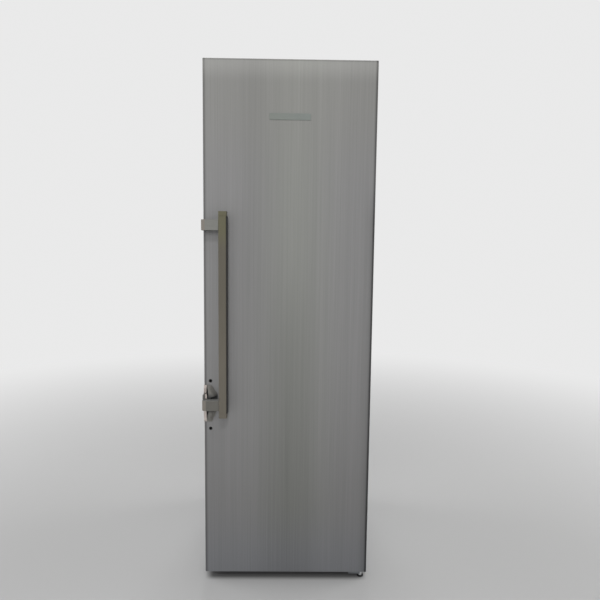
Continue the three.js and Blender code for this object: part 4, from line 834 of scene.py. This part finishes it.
def screw_sockets():
    middle = arm_level - socket_drop
    inner = socket_radius - socket_wall
    profile = [(0, socket_depth), (socket_radius, socket_depth), (socket_radius, -0.0001),
               (socket_flange, -0.0001), (socket_flange, -0.0004), (inner, -0.0006),
               (inner, socket_depth - socket_wall), (0, socket_depth - socket_wall)]
    for name, rise in (("upper_screw_socket", 0.5), ("lower_screw_socket", -0.5)):
        centre = (door_edge + socket_inset, door_face, middle + rise * socket_spacing)
        cup = turned(profile, centre, (0, 1, 0), 24)
        shaped(name, [cup], ring_closed, False, "black_plastic", body_of["door_skin"])


screw_sockets()

# %% [markdown]
# ## The door's gasket
# A gasket is an extruded bellows with a magnet strip in its head, welded at its four corners on a mitre. Its
# profile is drawn once, as distances outwards and back from its middle line, and each corner of the door
# frame carries the same profile along its diagonal.

# %% Gasket
gasket_low, gasket_high = (np.array(corner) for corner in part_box("door_gasket"))
gasket_half = 0.009


def gasket():
    """Corner k holds the profile's points at (x, z) plus the outward distance times that corner's signs."""
    back = gasket_high[1] - gasket_low[1]
    shares = [(-1.0, 0.0), (-1.0, 0.18), (-0.30, 0.27), (-0.52, 0.40), (-0.30, 0.50), (-0.95, 0.58),
              (-1.0, 0.70), (-1.0, 0.96), (-0.92, 1.0), (0.92, 1.0), (1.0, 0.96), (1.0, 0.70), (0.95, 0.58),
              (0.30, 0.50), (0.52, 0.40), (0.30, 0.27), (1.0, 0.18), (1.0, 0.0)]
    out, depth = np.array(shares).T
    out = out * gasket_half
    depth = gasket_low[1] + depth * back
    half = (gasket_high[0] - gasket_low[0]) / 2 - gasket_half
    low, high = gasket_low[2] + gasket_half, gasket_high[2] - gasket_half
    corners = [(1, 1, high), (1, -1, low), (-1, -1, low), (-1, 1, high)]
    rings = [np.stack([sx * (half + out), depth, z + sz * out], axis=1) for sx, sz, z in corners]
    piece = shaped("gasket_bellows", [rings], (True, True), False, "gasket_rubber", body_of["door_gasket"])
    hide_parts("door_gasket")


gasket()

# %% [markdown]
# ## Trims of the shelves
# Toughened glass gets a plastic trim along its front edge, which stops a tin from sliding off and hides the
# ground edge. It grips the glass like a letter C, with a fuller, rounded front.

# %% Shelf trims
trim_front = 0.0038
trim_over = 0.0012
trim_top = 0.014
trim_under = 0.0042
trim_below = 0.010
trim_gap = 0.0002
trim_side = 0.0085


def shelf_trim(node):
    """The trim's outline in y and z, from the glass's front edge f and its faces b and t, carried along x."""
    low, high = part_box(node)
    f, b, t = low[1], low[2], high[2]
    front = eased([(f, t + trim_over), (f - trim_front, t + trim_over), (f - trim_front, b - trim_under),
                   (f, b - trim_under)], 0.003)
    under = [(f + trim_below, b - trim_over), (f + trim_below, b - trim_gap), (f - trim_gap, b - trim_gap)]
    over = [(f - trim_gap, t + trim_gap), (f + trim_top, t + trim_gap), (f + trim_top, t + trim_over * 0.8)]
    section = np.concatenate([front, under, over])
    ends = (low[0] + trim_side, high[0] - trim_side)
    points = np.array([np.column_stack([np.full(len(section), x), section]) for x in ends])
    shaped(node + "_trim", [points], ring_closed, True, "pale_plastic", body_of[node])


for node in frame["nodes"]:
    if node.startswith("glass_shelf") or node == "drawer_cover_glass":
        shelf_trim(node)

# %% [markdown]
# ## Feet and rollers
# The levelling feet are turned plastic pads with a hexagon for the spanner, and the rollers have a rounded
# tread. Each is a profile turned about its own axis.

# %% Feet and rollers
foot_stud = 0.005
foot_hexagon = 0.0095
hexagon_low = 0.0042
hexagon_high = 0.0085


def levelling_foot(node):
    low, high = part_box(node)
    x, y = middle_of(node)[:2]
    pad = (high[0] - low[0]) / 2
    base = eased([(0, 0), (pad, 0), (pad, 0.0036), (foot_hexagon * 0.9, 0.0055),
                  (foot_hexagon * 0.8, 0.0080)], 0.0012)
    stud = [(foot_stud, 0.0080), (foot_stud, high[2] - 0.001), (foot_stud - 0.001, high[2]), (0, high[2])]
    foot = turned(np.concatenate([base, stud]), (x, y, low[2]), up_axis, 40)
    piece = shaped(node + "_turned", [foot], ring_closed, False, "black_plastic", body_of[node])
    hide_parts(node)
    profile = [(0, hexagon_low), (foot_hexagon, hexagon_low), (foot_hexagon, hexagon_high), (0, hexagon_high)]
    nut = turned(profile, (x, y, 0), up_axis, 6)
    shaped(node + "_hexagon", [nut], ring_closed, False, "galvanised_steel", body_of[node], 20)


def bracket_foot():
    """A rubber pad, a bright domed nut and its stud, on one axis."""
    low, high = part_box("bracket_foot")
    x, y = middle_of("bracket_foot")[:2]
    pad = (high[0] - low[0]) / 2
    dome = 0.0064
    stud = 0.0038
    nut = eased([(0, 0.003), (dome, 0.003), (dome, 0.0140), (stud, 0.0140), (stud, high[2]),
                 (0, high[2])], 0.0034, 6)
    piece = shaped("bracket_foot_nut", [turned(nut, (x, y, 0), up_axis, 40)], ring_closed, False,
                   "bright_steel", body_of["bracket_foot"])
    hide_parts("bracket_foot")
    rubber = eased([(0, 0), (pad, 0), (pad, 0.0028), (0, 0.0028)], 0.0008)
    shaped("bracket_foot_pad", [turned(rubber, (x, y, 0), up_axis, 40)], ring_closed, False,
           "black_plastic", body_of["bracket_foot"])


def roller(node):
    low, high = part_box(node)
    centre = middle_of(node)
    radius = (high[2] - low[2]) / 2
    reach = (high[0] - low[0]) / 2
    tread = 0.0073
    half = [(0.0029, -reach), (0.0029, -tread), (radius * 0.62, -tread), (radius * 0.70, -tread * 0.72),
            (radius * 0.84, -tread * 0.72), (radius * 0.88, -tread), (radius, -tread)]
    whole = [(0, -reach)] + half + [(r, -h) for r, h in half[::-1]] + [(0, reach)]
    wheel = turned(eased(whole, 0.0009), centre, (1, 0, 0), 40)
    piece = shaped(node + "_turned", [wheel], ring_closed, False, "black_plastic", body_of[node])
    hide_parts(node)


for side in ("left", "right"):
    levelling_foot(f"front_{side}_foot")
    roller(f"rear_{side}_roller")
bracket_foot()

# %% [markdown]
# ## Compressor
# The pot is two deep-drawn steel cups, welded round a seam. It stands on a foot plate with four rubber
# grommets, and has stubs for its pipes.

# %% Compressor
pot_low, pot_high = (np.array(corner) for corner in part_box("compressor"))
pot_middle = middle_of("compressor")
plate_sheet = 0.003
pot_radius = 0.072
seam_share = 0.75
seam_lip = 0.0029
seam_half = 0.003
seam_reach = 0.0045


def compressor():
    low, high = pot_low[2] + plate_sheet, pot_high[2]
    seam = low + (high - low) * seam_share
    flange = pot_radius + seam_lip
    profile = [(0, low - 0.0002), (pot_radius * 0.72, low - 0.0002), (pot_radius, low + 0.022),
               (pot_radius, seam - seam_reach), (flange, seam - seam_half), (flange, seam + seam_half),
               (pot_radius, seam + seam_reach), (pot_radius, high - 0.032), (pot_radius * 0.62, high - 0.003),
               (0, high)]
    pot = turned(eased(profile, 0.016, 7), (pot_middle[0], pot_middle[1], 0), up_axis, 72)
    piece = shaped("compressor_pot", [pot], ring_closed, False, "black_enamel", body_of["compressor"])
    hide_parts("compressor")


def foot_plate():
    """A rounded plate: two rings of its outline, with the top one drawn in along the edge."""
    half_x, half_y = (pot_high[:2] - pot_low[:2]) / 2
    corner = 0.012
    angle = np.linspace(0, 2 * np.pi, 48, endpoint=False) + np.pi / 48
    ring = np.stack([np.cos(angle), np.sin(angle)], axis=1)
    centre = np.sign(ring) * [half_x - corner, half_y - corner]
    levels = ((0.0, corner), (plate_sheet * 0.8, corner), (plate_sheet, corner - 0.0006))
    rows = []
    for rise, radius in levels:
        plan = pot_middle[:2] + centre + radius * ring
        rows.append(np.column_stack([plan, np.full(len(plan), pot_low[2] + rise)]))
    shaped("compressor_plate", [rows], ring_closed, True, "black_enamel", body_of["compressor"])


def grommets():
    profile = eased([(0, -0.0001), (0.009, -0.0001), (0.0095, 0.004), (0.0062, 0.0055), (0.0058, 0.0072),
                     (0, 0.0075)], 0.0012)
    spread = 0.066
    centres = [(pot_middle[0] + dx * spread, pot_middle[1] + dy * spread / 2, pot_low[2] + plate_sheet)
               for dx in (-1, 1) for dy in (-1, 1)]
    grids = [turned(profile, centre, up_axis, 20) for centre in centres]
    shaped("compressor_grommets", grids, ring_closed, False, "gasket_rubber", body_of["compressor"])


compressor()
foot_plate()
grommets()

# %% [markdown]
# ## Condenser
# The coil on the back is one steel tube, bent into level runs, with fine upright wires spot-welded to both of
# its sides to spread the heat. The runs and bends follow the frame's coil; the wires are repeated prisms of
# few faces.

# %% Condenser coil
coil_low, coil_high = (np.array(corner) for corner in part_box("condenser"))
coil_tube = 0.0029
coil_runs = 12
coil_hook = 0.014
wire_size = 0.0014
wire_count = 44


def coil_route():
    """Level runs joined by half turns: each bend's angle goes from -90 to 90 degrees, on alternate sides."""
    pitch = (coil_high[2] - coil_low[2]) / (coil_runs - 1 + 0.5)
    start = coil_low[2] + pitch / 4
    radius = pitch / 2
    end = coil_high[0] - coil_tube - radius
    depth = coil_high[1] - 0.002 - 0.003
    angle = np.linspace(-np.pi / 2, np.pi / 2, 17)
    route = [(-end, depth, start)]
    for run in range(coil_runs - 1):
        side = 1 if run % 2 == 0 else -1
        z = start + run * pitch + radius
        route += [(side * (end + radius * math.cos(a)), depth, z + radius * math.sin(a)) for a in angle]
    last = -1 if coil_runs % 2 == 0 else 1
    route.append((last * end, depth, start + (coil_runs - 1) * pitch))
    return np.array(route), end, depth


def condenser():
    route, end, depth = coil_route()
    coil = shaped("condenser_coil", [tube(route, coil_tube, 12, (0, 1, 0))], ring_closed, True,
                  "black_enamel", body_of["condenser"])
    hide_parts("condenser")
    places = np.linspace(-end + coil_hook / 2, end - coil_hook / 2, wire_count)
    grids = []
    for side in (-1, 1):
        y = depth + side * (coil_tube + wire_size * 0.3)
        for x in places + side * 0.0009:
            grids.append(tube([(x, y, coil_low[2]), (x, y, coil_high[2])], wire_size / 2, 6, (0, 1, 0)))
    shaped("condenser_wires", grids, ring_closed, True, "black_enamel", body_of["condenser"], 70)


def condenser_brackets():
    """Four bent straps that hold the coil off the rear panel: an S-shaped strip with its own thickness."""
    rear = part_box("rear_panel")[1][1]
    end, depth = coil_route()[1:]
    reach = end - coil_hook
    sheet = 0.0012
    back, front = rear + sheet, depth - 0.0045
    grids = []
    for x in (-reach, reach):
        for z, way in ((coil_low[2] + 0.004, 1), (coil_high[2] - 0.004, -1)):
            step = z + way * 0.010
            line = eased([(back, z + way * 0.024), (back, step), (front, step), (front, z)], 0.003)
            loop = np.concatenate([line, (line - np.array([sheet, 0]))[::-1]])
            sides = (x - coil_hook / 2, x + coil_hook / 2)
            grids.append([np.column_stack([np.full(len(loop), side), loop]) for side in sides])
    shaped("condenser_straps", grids, ring_closed, True, "black_enamel", body_of["condenser"])


condenser()
condenser_brackets()

# %% [markdown]
# ## Screws
# Sheet-metal screws hold the rear panel and the fan's cover. One head has a few dozen faces: a domed disc in
# eight steps, with a shallow recess for the driver.

# %% Screws
screw_radius = 0.0036
screw_rise = 0.0019
recess = 0.0013


def screw_head(centre, axis, size=1.0):
    """A domed head with an eight-sided recess: one profile turned about the screw's axis in eight steps."""
    profile = [(0, screw_rise * 0.45), (recess * 0.7, screw_rise * 0.45), (recess, screw_rise * 0.92),
               (screw_radius * 0.72, screw_rise * 0.90), (screw_radius * 0.96, screw_rise * 0.45),
               (screw_radius, 0), (0, 0)]
    return turned(np.array(profile) * size, centre, axis, 8)


def screws(name, centres, axis, slot, body, size=1.0):
    shaped(name, [screw_head(centre, axis, size) for centre in centres], ring_closed, False, slot, body)


panel_low, panel_high = (np.array(corner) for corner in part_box("rear_panel"))
panel_edge = 0.012
panel_screws = [(x, panel_high[1], z) for x in (panel_low[0] + panel_edge, panel_high[0] - panel_edge)
                for z in np.linspace(panel_low[2] + panel_edge, panel_high[2] - panel_edge, 6)]
panel_screws += [(x, panel_high[1], z) for z in (panel_low[2] + panel_edge, panel_high[2] - panel_edge)
                 for x in (-0.1, 0.1)]
screws("rear_panel_screws", panel_screws, (0, 1, 0), "galvanised_steel", body_of["rear_panel"])

fan_low, fan_high = (np.array(corner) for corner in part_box("fan_cover"))
fan_edge = 0.008
fan_screws = [(x, fan_low[1], z) for x in (fan_low[0] + fan_edge, fan_high[0] - fan_edge)
              for z in (fan_low[2] + fan_edge, fan_high[2] - fan_edge)]
screws("fan_cover_screws", fan_screws, (0, -1, 0), "pale_plastic", body_of["fan_cover"], 0.8)

# %% [markdown]
# ## Floor, sky and lamps
# The light is a plain studio. The camera, metal and glass see a pale sky, which lights the object from all
# round at a lower level, and six lamps in front, above, beside and behind do the rest. The strongest in
# front stands only a little higher than the refrigerator, which keeps the arms' shadows short. The floor is a
# pale grey round the object, and further out it glows with the sky's own colour, so no horizon shows. Under
# the cabinet a painted shadow darkens it, because the gap under the door would look too bright on so pale a
# floor.

# %% Studio
sky_level = 0.82
room_level = 0.22
floor_albedo = 0.50
floor_radius = 30
under_cabinet_painted_shadow = 0.68
fade_start = 0.9
fade_end = 4.2


def studio_floor():
    shader = Shader("floor", {"Roughness": 0.9, "Specular IOR Level": 0.1})
    x, y, z = shader.axes()
    away = (x * x + y * y) ** 0.5
    glow = shader.node("ShaderNodeEmission", None, {"Color": (sky_level,) * 3 + (1,)})
    cloth = Signal(shader, shader.principled.outputs[0])
    blend = shader.node("ShaderNodeMixShader", None, {0: away.step(fade_start, fade_end), 1: cloth, 2: glow})
    shader.fill(shader.tree.nodes["Material Output"], {"Surface": blend})
    # A painted shadow under the cabinet's footprint.
    under = x.size().step(0.302, 0.270) * y.step(-0.300, -0.270) * y.step(0.330, 0.290)
    return shader.finish({"Base Color": shader.tinted((floor_albedo,) * 3, 1 - under * under_cabinet_painted_shadow)})


def disc(name, radius, height, count):
    """A round sheet: point i is radius times the cosine and sine of i / count of a turn."""
    angle = np.linspace(0, 2 * np.pi, count, endpoint=False)
    points = np.stack([radius * np.cos(angle), radius * np.sin(angle), np.full(count, height)], axis=1)
    mesh = bpy.data.meshes.new(name)
    mesh.from_pydata(points.tolist(), [], [list(range(count))])
    return placed(name, mesh)


floor = disc("floor", floor_radius, 0.0, 96)
floor.data.materials.append(studio_floor())

world = bpy.data.worlds.new("sky")
world.use_nodes = True
sky = world.node_tree.nodes["Background"]
sky.inputs["Color"].default_value = (1, 1, 1, 1)
rays = world.node_tree.nodes.new("ShaderNodeLightPath")
strength = world.node_tree.nodes.new("ShaderNodeMapRange")
strength.inputs["To Min"].default_value = room_level
strength.inputs["To Max"].default_value = sky_level
seen = rays.outputs["Is Camera Ray"]
for name in ("Is Glossy Ray", "Is Transmission Ray"):
    either = world.node_tree.nodes.new("ShaderNodeMath")
    either.operation = "MAXIMUM"
    world.node_tree.links.new(seen, either.inputs[0])
    world.node_tree.links.new(rays.outputs[name], either.inputs[1])
    seen = either.outputs[0]
world.node_tree.links.new(seen, strength.inputs["Value"])
world.node_tree.links.new(strength.outputs[0], sky.inputs["Strength"])
bpy.context.scene.world = world


def soft_box(name, place, target, size, power):
    """A rectangular lamp that faces a target."""
    data = bpy.data.lights.new(name, "AREA")
    data.shape = "RECTANGLE"
    data.size, data.size_y = size
    data.energy = power
    lamp = bpy.data.objects.new(name, data)
    lamp.location = place
    lamp.rotation_euler = (Vector(target) - Vector(place)).to_track_quat("-Z", "Y").to_euler()
    bpy.context.scene.collection.objects.link(lamp)
    return lamp


soft_box("top_box", (0.0, -1.9, 5.0), (0, -0.1, 1.0), (1.6, 1.8), 25)
ceiling_lamp = soft_box("ceiling_lamp", (0.05, -3.0, 3.2), (0, -0.3, 1.0), (0.4, 0.4), 31)
front_box = soft_box("front_box", (0.0, -4.6, 2.25), (0, -0.3, 1.0), (0.9, 1.2), 66)
left_box = soft_box("left_box", (-3.6, 0.7, 2.8), (0, 0.1, 1.0), (2.2, 2.2), 62)
right_box = soft_box("right_box", (3.6, 0.7, 2.8), (0, 0.1, 1.0), (2.2, 2.2), 62)
back_box = soft_box("back_box", (0.0, 4.2, 3.4), (0, 0.3, 1.0), (2.4, 1.6), 85)
for lamp in (ceiling_lamp, front_box, left_box, right_box, back_box):
    lamp.visible_glossy = False

bpy.context.scene.view_settings.view_transform = "Standard"
print("lamps:", len(bpy.data.lights), "floor radius in metres:", floor_radius)
